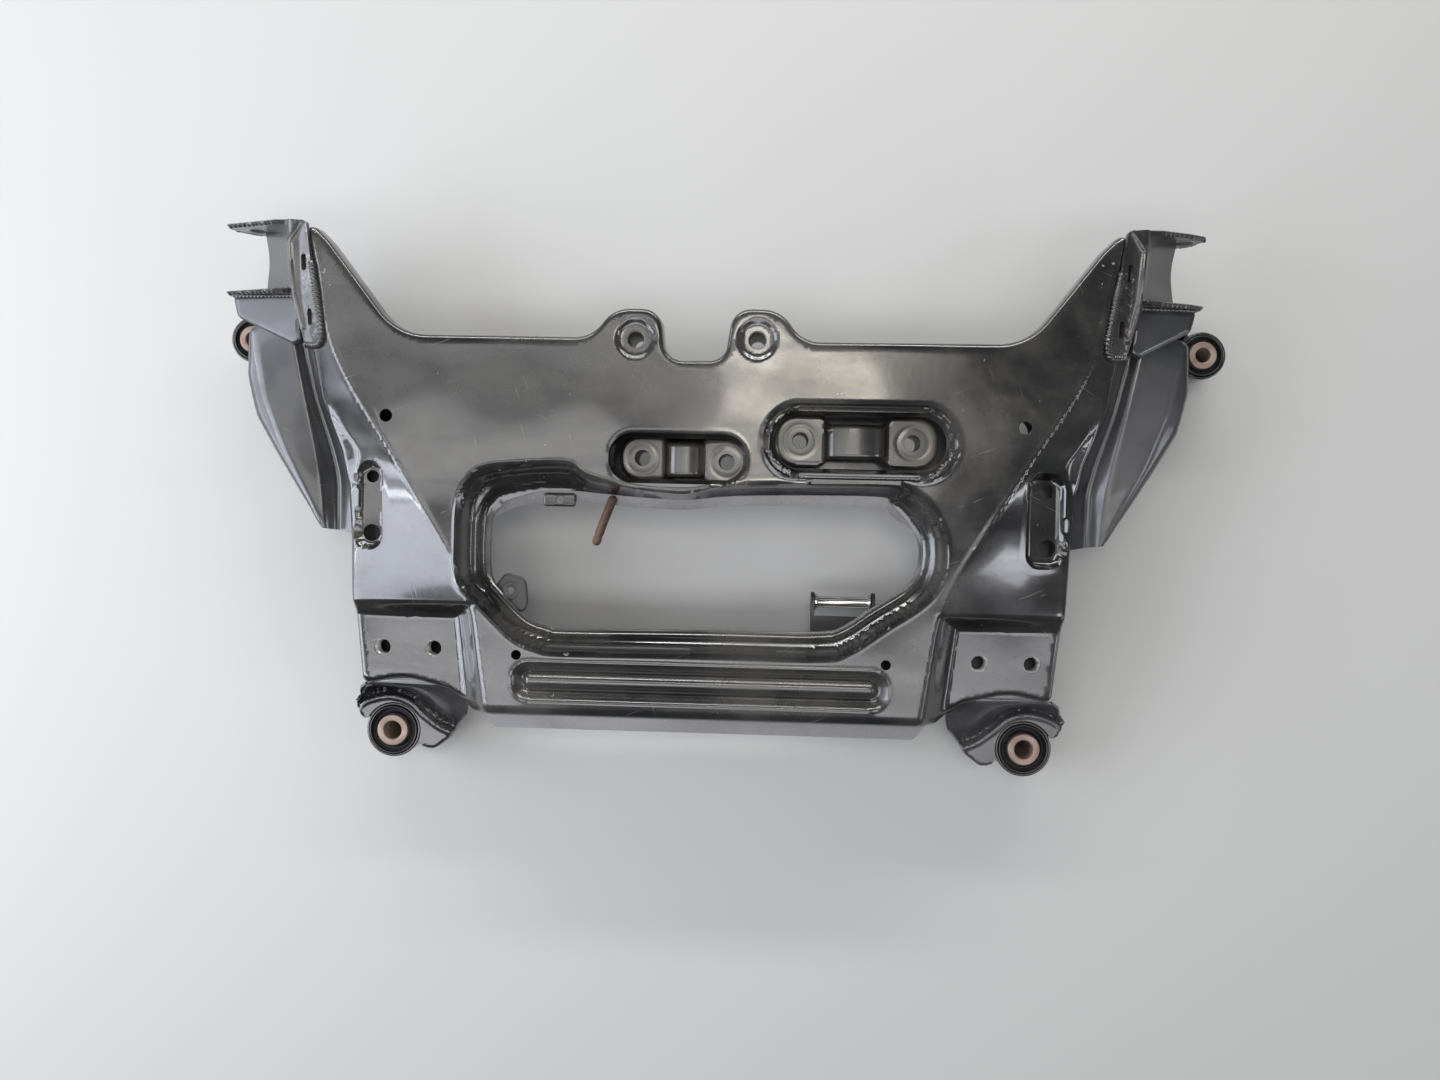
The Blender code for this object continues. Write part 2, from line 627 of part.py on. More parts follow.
def make_lower_shell():
    """Lower pressing: floor, walls up inside the rolled edge, and the opening's flange."""
    outline = split_long(rounded(shell_outline(HORN_CUT, LOWER_FRONT), 3), 60.0)
    edge = inset(outline, NEST)
    flange = FRONT_EDGE_Z - SEAM - 0.3 - SHEET
    in_front = [y < PAD_FRONT_Y - 3.0 for _, y in outline]
    rim = [(x, y, flange if front else body_height(x, y) - 8.0 - SHEET)
           for (x, y), front in zip(edge, in_front)]
    corners = [(x, y, max(radius, 15.0)) for x, y, radius in shell_outline(HORN_CUT, UPPER_FRONT)]
    body = split_long(rounded(corners, 3), 60.0)
    wall = inset(body, NEST + 2.0)
    shoulder = [(x, y, flange if y < PAD_FRONT_Y - 3.0 else FLOOR_Z + 7.0) for x, y in wall]
    foot = lift(inset(body, NEST + 5.5), FLOOR_Z)
    hole = lower_inner_loop()
    ledge = OPENING_FLANGE_Z - 2.0 * SHEET - SEAM
    contours = [shoulder, foot]
    for reach, z in ((LOWER_FLANGE_REACH, ledge), (LOWER_FLANGE_REACH + 2.5, ledge - 4.0),
                     (BOX_WALL_REACH, FLOOR_Z + 5.0), (BOX_WALL_REACH + 3.5, FLOOR_Z)):
        contours.append(lift(inset(hole, -reach), z))
    voids = [lift(hole, ledge)]
    for centre in (EAR_LEFT, EAR_RIGHT):
        voids.append(lift(circle(centre, EAR_BORE + 0.6, 16), FLOOR_Z))
    for centre in (*RACK_BOLTS_LEFT, *RACK_BOLTS_RIGHT):
        voids.append(lift(circle(centre, RACK_BORE + 0.6, 16), FLOOR_Z))
    for side in (-1.0, 1.0):
        voids.append(lift(circle((side * 272.0, 74.0), ACCESS_HOLE, 14), FLOOR_Z))
        rib = slot((side * 240.0 - 70.0, side * 240.0 + 70.0), (100.0, 124.0), 10.0, 3)
        contours.append(lift(rib, FLOOR_Z))
        contours.append(lift(inset(rib, 5.0), FLOOR_Z + FLOOR_RIB))
    return pressing("lower_shell", BLACK_PAINT, rim, contours, voids, [],
                    lambda x, y: FLOOR_Z, SHEET)


def upper_edge(side, low, high, gap):
    """Points just outside the upper pressing's flank, from rear to front."""
    outline = inset(split_long(rounded(shell_outline(HORN_TIP, UPPER_FRONT)), 34.0), -gap)
    return [(side * abs(x), y) for x, y in outline if x > 300.0 and low < y < high]


def make_side_arm(side, label):
    """Upper panel of the arm that carries a side mount: trough, plate, ridge and turned edge."""
    inner = [(x, y, body_height(x, y) - SIDE_TURN_DOWN - 0.4)
             for x, y in upper_edge(side, -30.0, 152.0, 0.8)]
    corners = [(340.0, -34.0, 0.0), *ARM_EDGE, (372.0, 154.0, 0.0)]
    arc = rounded([(side * x, y, radius) for x, y, radius in corners])[:-1]
    edge = lift([point for point in arc if point[1] > -33.9], ARM_EDGE_Z)
    outline = [(side * 366.0, 153.0, 93.0), *inner, *edge]
    shoulder = [(side * (abs(x) - 3.0), y, ARM_EDGE_Z + 11.0) for x, y, _ in edge if -10.0 < y < 150.0]
    creases = [shoulder]
    for line in ARM_FOLDS:
        creases.append([(side * x, y, z - SHEET) for x, y, z in line])
    return pressing(f"side_arm_{label}", BLACK_PAINT, outline, [], [], creases,
                    lambda x, y: 88.0, SHEET)


def make_side_arm_lower(side, label, centre, radius):
    """Lower panel of the arm: a tray whose end is bent round the mount's housing."""
    mx, my = abs(centre[0]), centre[1]
    hug = radius + SEAM
    back = 16.0
    spread = math.acos(back / hug)
    steps = 8
    notch = []
    for step in range(steps + 1):
        angle = math.pi - spread + 2.0 * spread * step / steps
        notch.append((mx + hug * math.cos(angle), my + hug * math.sin(angle)))
    tip = math.sin(spread) * hug
    upper = rounded([(364.0, my + tip + 11.0, 12.0), (mx - back - 5.0, my + tip + 11.0, 10.0),
                     (mx - back, my + tip, 0.0), (mx - back - 8.0, my, 0.0)], 4)[:-2]
    nested = [(x - ARM_NEST, y + 0.5 * ARM_NEST, radius) for x, y, radius in ARM_EDGE[3:0:-1]]
    lower = rounded([(mx - back - 8.0, my, 0.0), (mx - back, my - tip, 0.0),
                     (mx - back - 5.0, my - tip - 11.0, 10.0), (min(mx - back - 5.0, ARM_EDGE[-1][0]), my - 42.0, 20.0),
                     *nested, (340.0, -2.0, 10.0), (326.0, 6.0, 9.0), (329.0, 30.0, 0.0)], 4)[2:-1]
    inner = upper_edge(1.0, 26.0, 136.0, 3.0)
    plan = [(side * x, y) for x, y in [*upper, *notch, *lower, *reversed(inner)]]
    contours = [lift(inset(plan, 0.5), ARM_TRAY_Z + 6.0), lift(inset(plan, 4.0), ARM_TRAY_Z)]

    def brim(x, y):
        return ARM_TRAY_TOP if y < my - 55.0 and abs(x) > interpolate(FLANK, y, 2) + 12.0 else ARM_BRIM_Z

    return pressing(f"side_arm_lower_{label}", BLACK_PAINT, lift(plan, brim), contours, [], [],
                    lambda x, y: ARM_TRAY_Z, SHEET)


def unite(base, others):
    """Fuse overlapping solids into the first one and keep only that object."""
    for other in others:
        step = base.modifiers.new("fuse", "BOOLEAN")
        step.operation = "UNION"
        step.solver = "EXACT"
        step.object = other
    seen = base.evaluated_get(bpy.context.evaluated_depsgraph_get())
    mesh = bpy.data.meshes.new_from_object(seen)
    base.modifiers.clear()
    base.data = mesh
    for other in others:
        bpy.data.objects.remove(other, do_unlink=True)
    return base


def ear_profile(reach, start):
    """Side view of a bracket ear: a tapering plate that is widest round its bolt."""
    x, z = ARM_BOLT_X, ARM_BOLT_Z
    return rounded([(start, z + 18.0, 3.0), (start + 5.0, z + 30.5, 5.0), (x - 28.0, z + 29.5, 10.0),
                    (x - 2.0, z + 20.0, 20.0), (reach, z + 11.0, 3.0), (reach - 1.0, z - 2.0, 10.0),
                    (x + 8.0, z - 18.0, 12.0), (x - 14.0, z - 23.0, 12.0), (x - 34.0, z - 12.0, 20.0)], 4)


def make_arm_bracket(side, label):
    """Control arm bracket: slotted tongue on the horn, leaning web and two ears."""
    rear, front = ARM_EAR_Y[1], ARM_EAR_Y[0]
    plan = rounded([(347.0, rear - 3.0, 4.0), (365.0, rear - 1.0, 0.0), (ARM_WEB_FOOT_X, rear - 1.0, 0.0),
                    (ARM_WEB_FOOT_X - 7.0, 212.0, 40.0), (ARM_WEB_FOOT_X + 3.0, front + 1.0, 0.0),
                    (365.0, front + 1.0, 0.0), (359.0, 160.0, 10.0), (354.0, 137.0, 5.0),
                    (338.0, 135.0, 6.0), (335.0, 150.0, 8.0), (343.0, 200.0, 20.0)], 4)

    def height(x, y):
        on_horn = body_height(min(abs(x), 354.0), y) + SEAM + 0.6
        fall = max(0.0, abs(x) - ARM_WEB_TOP_X) / (ARM_WEB_FOOT_X - ARM_WEB_TOP_X)
        return on_horn + (ARM_WEB_FOOT_Z - on_horn) * fall

    outline = lift([(side * x, y) for x, y in split_long(plan, 16.0)], height)
    bends = []
    for x, first, step in ((347.5, 150.0, 17.0), (ARM_WEB_TOP_X, 184.0, 13.0)):
        stations = [first + step * k for k in range(5)]
        bends.append(lift([(side * x, y) for y in stations], height))
    slots = [lift(slot((side * x - 2.5, side * x + 2.5), (y - 7.0, y + 7.0), 2.4, 3), height)
             for x, y in ARM_SLOTS]
    web = pressing(f"arm_bracket_{label}", BLACK_PAINT, outline, [], slots, bends, height,
                   BRACKET_SHEET - 1.0)
    reach = ARM_REACH[label]
    bolt = circle((side * ARM_BOLT_X, ARM_BOLT_Z), ARM_BOLT_HOLE, 24)
    ears = []
    for name, start, low in (("rear", 352.0, rear - BRACKET_SHEET), ("front", 359.0, front)):
        shape = [(side * x, z) for x, z in ear_profile(reach, start)]
        ears.append(plate(f"{name}_ear", BLACK_PAINT, shape, [bolt], low, low + BRACKET_SHEET, "xzy"))
    return unite(web, ears)


def make_arm_gusset(side, label):
    """Sloping plate that ties the front ear down to the side arm."""
    front = ARM_EAR_Y[0] - SEAM
    plan = rounded([(362.0, front, 2.0), (ARM_REACH[label] - 6.0, front, 3.0),
                    (ARM_REACH[label] - 10.0, 160.0, 8.0), (366.0, 136.0, 5.0), (359.0, 140.0, 4.0)], 3)
    outline = [(side * x, y) for x, y in split_long(plan, 20.0)]

    def height(x, y):
        return 98.5 - 0.13 * (abs(x) - 365.0) + 0.06 * (y - 134.0)

    return pressing(f"arm_gusset_{label}", BLACK_PAINT, lift(outline, height), [], [], [], height, SHEET)


def make_corner_bracket(side, label, centre, radius):
    """Lobed bracket under a bolting pad, with its edge turned down round the mount."""
    mx, my = abs(centre[0]), centre[1]
    hug = radius + 2.0 * SEAM
    first, last, steps = math.radians(24.0), math.radians(201.0), 13
    arc = [(mx + hug * math.cos(first + (last - first) * k / steps),
            my + hug * math.sin(first + (last - first) * k / steps)) for k in range(steps + 1)]
    lobe = rounded([(arc[-1][0], arc[-1][1], 0.0), (mx - 30.0, my - 16.5, 4.0),
                    (mx - 39.0, my - 17.0, 8.0), (mx - 52.0, my - 7.0, 10.0),
                    (mx - 58.0, my + 3.0, 6.0), (mx - 69.0, my + 16.0, 12.0),
                    (mx - 74.0, my + 31.0, 10.0), (mx - 58.0, PAD_FRONT_Y + 3.0, 4.0),
                    (mx + 14.0, PAD_FRONT_Y + 3.0, 6.0), (mx + 27.0, my + 39.0, 8.0),
                    (mx + 35.0, my + 21.0, 8.0), (arc[0][0] + 6.0, arc[0][1], 4.0),
                    (arc[0][0], arc[0][1], 0.0)], 3)[1:-1]
    plan = [(side * x, y) for x, y in split_long([*arc, *lobe], 14.0)]

    def rise(x, y):
        foot = my + interpolate(CORNER_RIM, abs(x) - mx, 1)
        return min(1.0, max(0.0, (y - foot) / (CORNER_BROW_Y - foot)))

    def surface(x, y):
        return CORNER_Z + (FRONT_EDGE_Z - SEAM - CORNER_Z) * rise(x, y)

    rings = []
    for distance, drop in ((0.0, CORNER_TURN_DOWN), (1.2, 0.4 * CORNER_TURN_DOWN), (3.6, 0.0)):
        ring = inset(plan, distance)
        away = [min(1.0, max(0.0, (math.dist(edge, centre) - hug - 3.0) / 6.0)) for edge in plan]
        falls = [drop * share * (1.0 - rise(*edge)) for edge, share in zip(plan, away)]
        rings.append([(x, y, surface(x, y) - fall) for (x, y), fall in zip(ring, falls)])
    foot = [(side * (mx + dx), my + dy, CORNER_Z) for dx, dy in CORNER_RIM[2:-1]]
    brow = [(side * (mx + offset), CORNER_BROW_Y, FRONT_EDGE_Z - SEAM) for offset in (-52.0, -20.0, 12.0)]
    return pressing(f"corner_bracket_{label}", BLACK_PAINT, rings[0], rings[1:], [], [foot, brow],
                    surface, -SHEET)


def make_mount(label, centre, radius, sleeve, bore, height):
    """Rubber mount: welded housing, pressed-in sleeve, rubber and the inner sleeve."""
    top = height - MOUNT_PROUD
    inside_housing = radius - HOUSING_WALL
    tube(f"mount_housing_{label}", BLACK_PAINT, centre, inside_housing, radius, MOUNT_PROUD, top)
    outer = inside_housing - SEAM
    tube(f"mount_outer_sleeve_{label}", BARE_STEEL, centre, outer - SLEEVE_WALL, outer,
         MOUNT_PROUD - 1.0, top + 1.2)
    edge = outer - SLEEVE_WALL - SEAM
    near = sleeve + SEAM
    middle = 0.5 * (edge + near)
    profile = [(near, MOUNT_PROUD), (middle, MOUNT_PROUD + 5.0), (edge, MOUNT_PROUD + 1.0),
               (edge, top), (middle, top - 5.0), (near, top)]
    turned(f"mount_rubber_{label}", RUBBER, profile, centre)
    tube(f"mount_inner_sleeve_{label}", RUSTY_STEEL, centre, bore, sleeve, 0.0, height, 1.0)


def make_rack_saddle(label, bolts):
    """Seat of the steering rack: two bolting discs joined by an arched strap."""
    (x0, y0), (x1, y1) = bolts
    middle, y = 0.5 * (x0 + x1), 0.5 * (y0 + y1)
    waist = RACK_DISC - 5.0
    half_arch = 0.5 * (x1 - x0) - RACK_DISC - 3.0
    plan = rounded([(x0 - RACK_DISC, y0 - RACK_DISC, RACK_DISC - 1.0),
                    (x0 + RACK_DISC - 3.0, y0 - RACK_DISC, 6.0), (x0 + RACK_DISC + 3.0, y - waist, 4.0),
                    (x1 - RACK_DISC - 3.0, y - waist, 4.0), (x1 - RACK_DISC + 3.0, y1 - RACK_DISC, 6.0),
                    (x1 + RACK_DISC, y1 - RACK_DISC, RACK_DISC - 1.0),
                    (x1 + RACK_DISC, y1 + RACK_DISC, RACK_DISC - 1.0),
                    (x1 - RACK_DISC + 3.0, y1 + RACK_DISC, 6.0), (x1 - RACK_DISC - 3.0, y + waist, 4.0),
                    (x0 + RACK_DISC + 3.0, y + waist, 4.0), (x0 + RACK_DISC - 3.0, y0 + RACK_DISC, 6.0),
                    (x0 - RACK_DISC, y0 + RACK_DISC, RACK_DISC - 1.0)], 4)

    def height(x, _):
        away = abs(x - middle)
        if away < half_arch:
            return RACK_PLATE_Z - 5.0 + RACK_HUMP * (1.0 - (away / half_arch) ** 2)
        edge = min(1.0, (away - half_arch) / 8.0)
        return RACK_PLATE_Z - 5.0 * (1.0 - edge)

    outline = lift(split_long(plan, 6.0), height)
    bends = []
    for share in (-1.0, -0.7, -0.35, 0.0, 0.35, 0.7, 1.0):
        x = middle + share * half_arch
        bends.append(lift([(x, y - waist + 1.5), (x, y + waist - 1.5)], height))
    for x in (middle - half_arch - 8.0, middle + half_arch + 8.0):
        bends.append(lift([(x, y - waist), (x, y + waist)], height))
    voids = [lift(circle(bolt, RACK_BORE + 0.4, 20), RACK_PLATE_Z) for bolt in bolts]
    pressing(f"rack_saddle_{label}", BLACK_PAINT, outline, [], voids, bends, height, -SHEET)
    for place, bolt in zip(("outer", "inner"), bolts):
        tube(f"rack_collar_{label}_{place}", BARE_STEEL, bolt, RACK_BORE, RACK_COLLAR,
             FLOOR_Z + SHEET + SEAM, RACK_PLATE_Z - SHEET - SEAM, facets=20)


def make_strut_spool():
    """Torque strut bracket under the front beam, with a round spool between its ears."""
    x0, x1 = SPOOL_X
    top = FLOOR_Z - SEAM
    wall = SPOOL_BRACKET_SHEET
    rear, front = SPOOL_Y - 12.0, SPOOL_Y - 62.0
    base = plate("strut_bracket", BLACK_PAINT, slot((x0, x1), (front, rear), 4.0, 3), [],
                 top - wall, top)
    ears = []
    for x in (x0, x1 - wall):
        side = rounded([(SPOOL_Y + 9.0, SPOOL_Z - 9.0, 8.0), (SPOOL_Y + 9.0, SPOOL_Z + 9.0, 8.0),
                        (SPOOL_Y - 12.0, top - 0.3, 3.0), (front + 12.0, top - 0.3, 0.0),
                        (front + 6.0, top - 10.0, 5.0), (SPOOL_Y - 10.0, SPOOL_Z - 9.0, 8.0)], 3)
        ears.append(plate("ear", BLACK_PAINT, side, [circle((SPOOL_Y, SPOOL_Z), SPOOL_BORE + 0.3, 16)],
                          x, x + wall, "yzx"))
    unite(base, ears)
    length = x1 - x0 - 2.0 * wall - 2.0 * SEAM
    points, faces = [], []
    facets = 24
    for step in range(facets):
        angle = 2.0 * math.pi * step / facets
        for along, radius in ((0.0, SPOOL_BORE), (0.0, SPOOL_RADIUS), (length, SPOOL_RADIUS),
                              (length, SPOOL_BORE)):
            points.append((x0 + wall + SEAM + along, SPOOL_Y + radius * math.cos(angle),
                           SPOOL_Z + radius * math.sin(angle)))
    for step in range(facets):
        here, after = step * 4, (step + 1) % facets * 4
        for k in range(4):
            following = (k + 1) % 4
            faces.append((here + k, here + following, after + following, after + k))
    finish("strut_spool", points, faces, BARE_STEEL)


def make_hanger_pin():
    """Round hanger pin that leans out from the ledge of the opening."""
    z = OPENING_FLANGE_Z - SHEET + PIN_RADIUS
    path = [Vector((-83.5, 6.0, z)), Vector((-87.0, -4.0, z + 1.0)), Vector((-92.0, -17.0, z)),
            Vector((-97.0, -31.0, z - 2.0))]
    facets = 12
    points, faces = [], []
    for index, spot in enumerate(path):
        along = (path[min(index + 1, 3)] - path[max(index - 1, 0)]).normalized()
        across = along.cross(Vector((0.0, 0.0, 1.0))).normalized()
        up = across.cross(along)
        for step in range(facets):
            angle = 2.0 * math.pi * step / facets
            points.append(spot + (across * math.cos(angle) + up * math.sin(angle)) * PIN_RADIUS)
    for index in range(len(path) - 1):
        for step in range(facets):
            a, b = index * facets + step, index * facets + (step + 1) % facets
            faces.append((a, b, b + facets, a + facets))
    faces.append(tuple(reversed(range(facets))))
    faces.append(tuple(range((len(path) - 1) * facets, len(path) * facets)))
    finish("hanger_pin", points, faces, RUSTY_STEEL)


def make_tabs():
    """Two small tabs at the edge of the opening."""
    ledge = OPENING_FLANGE_Z - SHEET
    plate("harness_tab", BLACK_PAINT, slot((-145.0, -116.0), (-1.0, 11.0), 3.0, 3),
          [circle((-130.5, 5.0), 3.4, 14)], ledge, ledge + 2.0)
    top = OPENING_FLANGE_Z - 2.0 * (SHEET + SEAM)
    lobe = rounded([(-188.0, -73.0, 4.0), (-178.0, -60.0, 8.0), (-160.0, -66.0, 10.0),
                    (-158.0, -86.0, 8.0), (-162.0, -98.0, 6.0), (-176.0, -90.0, 6.0)], 4)
    plate("cable_tab", BLACK_PAINT, lobe, [circle((-174.0, -77.0), 3.2, 14)], top - 2.5, top)


def stand_on_origin():
    """Hang every sub-part on one empty, with the middle of their base at the world's origin."""
    low, high = Vector((1.0, 1.0, 1.0)), Vector((-1.0, -1.0, -1.0))
    pieces = list(bpy.data.objects)
    for piece in pieces:
        for vertex in piece.data.vertices:
            low = Vector(map(min, low, vertex.co))
            high = Vector(map(max, high, vertex.co))
    root = bpy.data.objects.new("subframe", None)
    root.location = (-0.5 * (low.x + high.x), -0.5 * (low.y + high.y), -low.z)
    bpy.context.scene.collection.objects.link(root)
    for piece in pieces:
        piece.parent = root


def main():
    """Make every sub-part."""
    make_upper_shell()
    make_lower_shell()
    for label, side in (("left", -1.0), ("right", 1.0)):
        centre, radius = MOUNTS[f"{label}_side"][:2]
        make_side_arm(side, label)
        make_side_arm_lower(side, label, centre, radius)
        make_arm_bracket(side, label)
        make_arm_gusset(side, label)
        centre, radius = MOUNTS[f"{label}_corner"][:2]
        make_corner_bracket(side, label, centre, radius)
        for place, x in zip(("inner", "outer"), PAD_BOLTS_X):
            top = PAD_Z - SHEET - SEAM
            hex_nut(f"pad_nut_{label}_{place}", BARE_STEEL, (side * x, PAD_BOLT_Y), PAD_NUT_BORE,
                    PAD_NUT_AF, top - PAD_NUT_HEIGHT, top)
    for label, mount in MOUNTS.items():
        make_mount(label, *mount)
    for label, centre in (("left", EAR_LEFT), ("right", EAR_RIGHT)):
        tube(f"ear_collar_{label}", BARE_STEEL, centre, EAR_BORE, EAR_COLLAR,
             FLOOR_Z + SHEET + SEAM, TOP_Z - EAR_DISH_DEPTH - SHEET - SEAM, facets=20)
    make_rack_saddle("left", RACK_BOLTS_LEFT)
    make_rack_saddle("right", RACK_BOLTS_RIGHT)
    make_strut_spool()
    make_hanger_pin()
    make_tabs()
    stand_on_origin()


main()
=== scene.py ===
# %% [markdown]
# # Dressing a front subframe
#
# The solids of this subframe are already packed: pressed shells, arms, brackets, collars and four
# rubber mounts. This lesson gives them the look of a real one that has been on the road: presswork
# with soft bends, weld beads, threads, worn gloss black paint, rust and old rubber.
# Every sheet is a height over a plan, worked out with numpy, so that a bend can be as soft as the
# press tool made it.

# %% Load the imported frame
import math

import bpy
import numpy as np
from mathutils import Matrix


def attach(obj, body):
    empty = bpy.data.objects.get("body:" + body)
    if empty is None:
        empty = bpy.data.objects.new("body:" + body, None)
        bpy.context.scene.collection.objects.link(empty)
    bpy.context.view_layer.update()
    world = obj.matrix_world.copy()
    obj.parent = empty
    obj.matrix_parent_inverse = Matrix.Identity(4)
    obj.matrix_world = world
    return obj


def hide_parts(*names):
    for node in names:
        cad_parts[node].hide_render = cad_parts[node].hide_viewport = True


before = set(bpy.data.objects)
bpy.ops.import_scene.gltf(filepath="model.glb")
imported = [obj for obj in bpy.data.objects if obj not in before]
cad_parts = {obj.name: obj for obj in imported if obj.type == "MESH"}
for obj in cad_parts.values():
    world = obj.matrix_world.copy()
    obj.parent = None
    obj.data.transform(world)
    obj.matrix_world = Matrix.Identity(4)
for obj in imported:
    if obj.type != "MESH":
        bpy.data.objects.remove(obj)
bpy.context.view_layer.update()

# %% [markdown]
# ## A toolbox for sheet metal
#
# A pressed sheet has a plan with holes and a height at each point of it. The plan is covered with
# small square cells. Cells outside are dropped, and the points of the ragged rim are drawn onto the
# nearest point of the outline or hole. That gives a clean edge for any shape. Points near an edge
# then move closer to it, because the rolled edges need more of them. Another way is a Boolean for
# each hole, which leaves long thin faces that spoil a gloss paint.

# %% Outlines and distances
MM = 0.001
# Both sides of the frame, with the sign of x. The plan is drawn from the photo's middle, and SHIFT
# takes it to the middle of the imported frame.
SIDES = (("left", -1.0), ("right", 1.0))
SHIFT = np.array([-6.5, -3.0, 0.0])


def unit(vectors):
    """Each vector divided by its length."""
    return vectors / np.maximum(np.linalg.norm(vectors, axis=-1, keepdims=True), 1e-9)


def rounded(corners, facets=9):
    """Closed outline from corners (x, y, radius).

    Each arc starts and ends at radius / tan(half the angle) from its corner, and its centre lies
    on the bisector at radius / sin(half the angle).
    """
    table = np.asarray(corners, float)
    at = table[:, :2]
    back, ahead = np.roll(at, 1, axis=0) - at, np.roll(at, -1, axis=0) - at
    room = 0.48 * np.minimum(np.linalg.norm(back, axis=1), np.linalg.norm(ahead, axis=1))
    back, ahead = unit(back), unit(ahead)
    half = 0.5 * np.arccos(np.clip((back * ahead).sum(1), -0.9999, 0.9999))
    reach = np.minimum(table[:, 2] / np.tan(half), room)
    radius = (reach * np.tan(half))[:, None]
    centre = at + unit(back + ahead) * radius / np.sin(half)[:, None]
    start, end = at + back * reach[:, None] - centre, at + ahead * reach[:, None] - centre
    share = np.linspace(0.0, 1.0, facets)[None, :, None]
    spokes = unit(start[:, None] * (1.0 - share) + end[:, None] * share) * radius[:, None]
    return (centre[:, None] + spokes).reshape(-1, 2)


def slot(x_range, y_range, radius):
    """Rectangle with rounded corners."""
    (x0, x1), (y0, y1) = x_range, y_range
    return rounded([(x0, y0, radius), (x1, y0, radius), (x1, y1, radius), (x0, y1, radius)], 12)


def circle(centre, radius, facets=48):
    """Points at radius times (cosine, sine) of equal steps of angle around a centre."""
    angle = np.linspace(0.0, 2.0 * np.pi, facets, endpoint=False)
    return np.column_stack([centre[0] + radius * np.cos(angle), centre[1] + radius * np.sin(angle)])


def curve(points, pieces=8, closed=True):
    """Catmull-Rom curve: between b and c it leaves b along c - a and meets c along d - b."""
    knots = np.asarray(points, float)
    if not closed:
        knots = np.vstack([2.0 * knots[0] - knots[1], knots, 2.0 * knots[-1] - knots[-2]])
    a, b, c, d = (np.roll(knots, 1 - k, axis=0)[:, None] for k in range(4))
    t = np.linspace(0.0, 1.0, pieces, endpoint=False)[None, :, None]
    line = 0.5 * (2 * b + (c - a) * t + (2 * a - 5 * b + 4 * c - d) * t ** 2
                  + (3 * b - a - 3 * c + d) * t ** 3)
    if closed:
        return line.reshape(-1, knots.shape[1])
    return np.vstack([line[1:-2].reshape(-1, knots.shape[1]), knots[-2]])


def nearest(points, loop, closed=True):
    """Distance to a line, and the nearest point on it.

    On a side from a to b that point is a + t (b - a), where t is the dot product of p - a with
    b - a over the side's squared length, kept between 0 and 1. The nearest side wins.
    """
    a = loop if closed else loop[:-1]
    side = (np.roll(loop, -1, axis=0) if closed else loop[1:]) - a
    square = np.maximum((side ** 2).sum(1), 1e-12)
    gap, spot = np.empty(len(points)), np.empty((len(points), 2))
    for rows in np.array_split(np.arange(len(points)), 1 + len(points) * len(a) // 2_000_000):
        t = np.clip(((points[rows][:, None] - a) * side).sum(-1) / square, 0.0, 1.0)
        foot = a + t[..., None] * side
        away = ((points[rows][:, None] - foot) ** 2).sum(-1)
        best = away.argmin(1)
        gap[rows] = np.sqrt(away[np.arange(len(rows)), best])
        spot[rows] = foot[np.arange(len(rows)), best]
    return gap, spot


def inside(points, loop):
    """True where a ray towards +x crosses the loop an odd number of times."""
    x, y = points[:, :1], points[:, 1:]
    x0, y0 = loop.T
    x1, y1 = np.roll(loop, -1, axis=0).T
    hit = np.zeros(len(points), bool)
    for rows in np.array_split(np.arange(len(points)), 1 + len(points) * len(loop) // 4_000_000):
        spans = (y0 > y[rows]) != (y1 > y[rows])
        with np.errstate(divide="ignore", invalid="ignore"):
            meets = x[rows] < x0 + (y[rows] - y0) * (x1 - x0) / (y1 - y0)
        hit[rows] = (spans & meets).sum(1) % 2 == 1
    return hit


def depth(points, loop):
    """Distance to a loop, positive inside it and negative outside."""
    return nearest(points, loop)[0] * np.where(inside(points, loop), 1.0, -1.0)


print("toolbox: a 40 mm slot has", len(slot((0, 40), (0, 20), 8)), "points")

# %% [markdown]
# ## Soft bends
#
# A press tool never makes a sharp fold. Three small functions stand for it. A soft ramp is nothing,
# then a short parabola, then a straight slope. A soft step goes from 0 to 1 with level ends. A soft
# table is a curve through given values, with its corners rubbed off by a moving average.

# %% Bend functions
def ramp(u, radius):
    """0 before -radius, u after radius, and the parabola (u + radius)^2 / (4 radius) between."""
    return np.where(u > radius, u, np.clip(u + radius, 0.0, None) ** 2 / (4.0 * radius))


def step(u):
    """3 t^2 - 2 t^3, with t kept between 0 and 1."""
    t = np.clip(u, 0.0, 1.0)
    return t * t * (3.0 - 2.0 * t)


def table(knots, values, at, blur):
    """Linear interpolation on a fine ladder, averaged over a window of blur, then read at a place."""
    ladder = np.linspace(knots[0] - 3.0 * blur, knots[-1] + 3.0 * blur, 1601)
    width = max(1, int(round(blur / (ladder[1] - ladder[0]))))
    raw = np.interp(ladder, knots, values)
    padded = np.pad(raw, width, mode="edge")
    flat = np.convolve(padded, np.ones(width) / width, mode="same")
    flat = np.convolve(flat, np.ones(width) / width, mode="same")[width:-width]
    return np.interp(at, ladder, flat)


print("a bend of 3 mm radius is", float(ramp(np.array(0.0), 3.0)), "mm off its corner")

# %% [markdown]
# ## From a plan to a closed sheet
#
# The grid gives the upper skin. The lower skin is the same points moved along the normals by the
# sheet's thickness, and a band of faces joins both round every edge, so each sheet is a closed
# solid. Two numbers are kept for each point: how near it is to an edge, and how much it stands out
# as a ridge. The paint's wear reads them later.

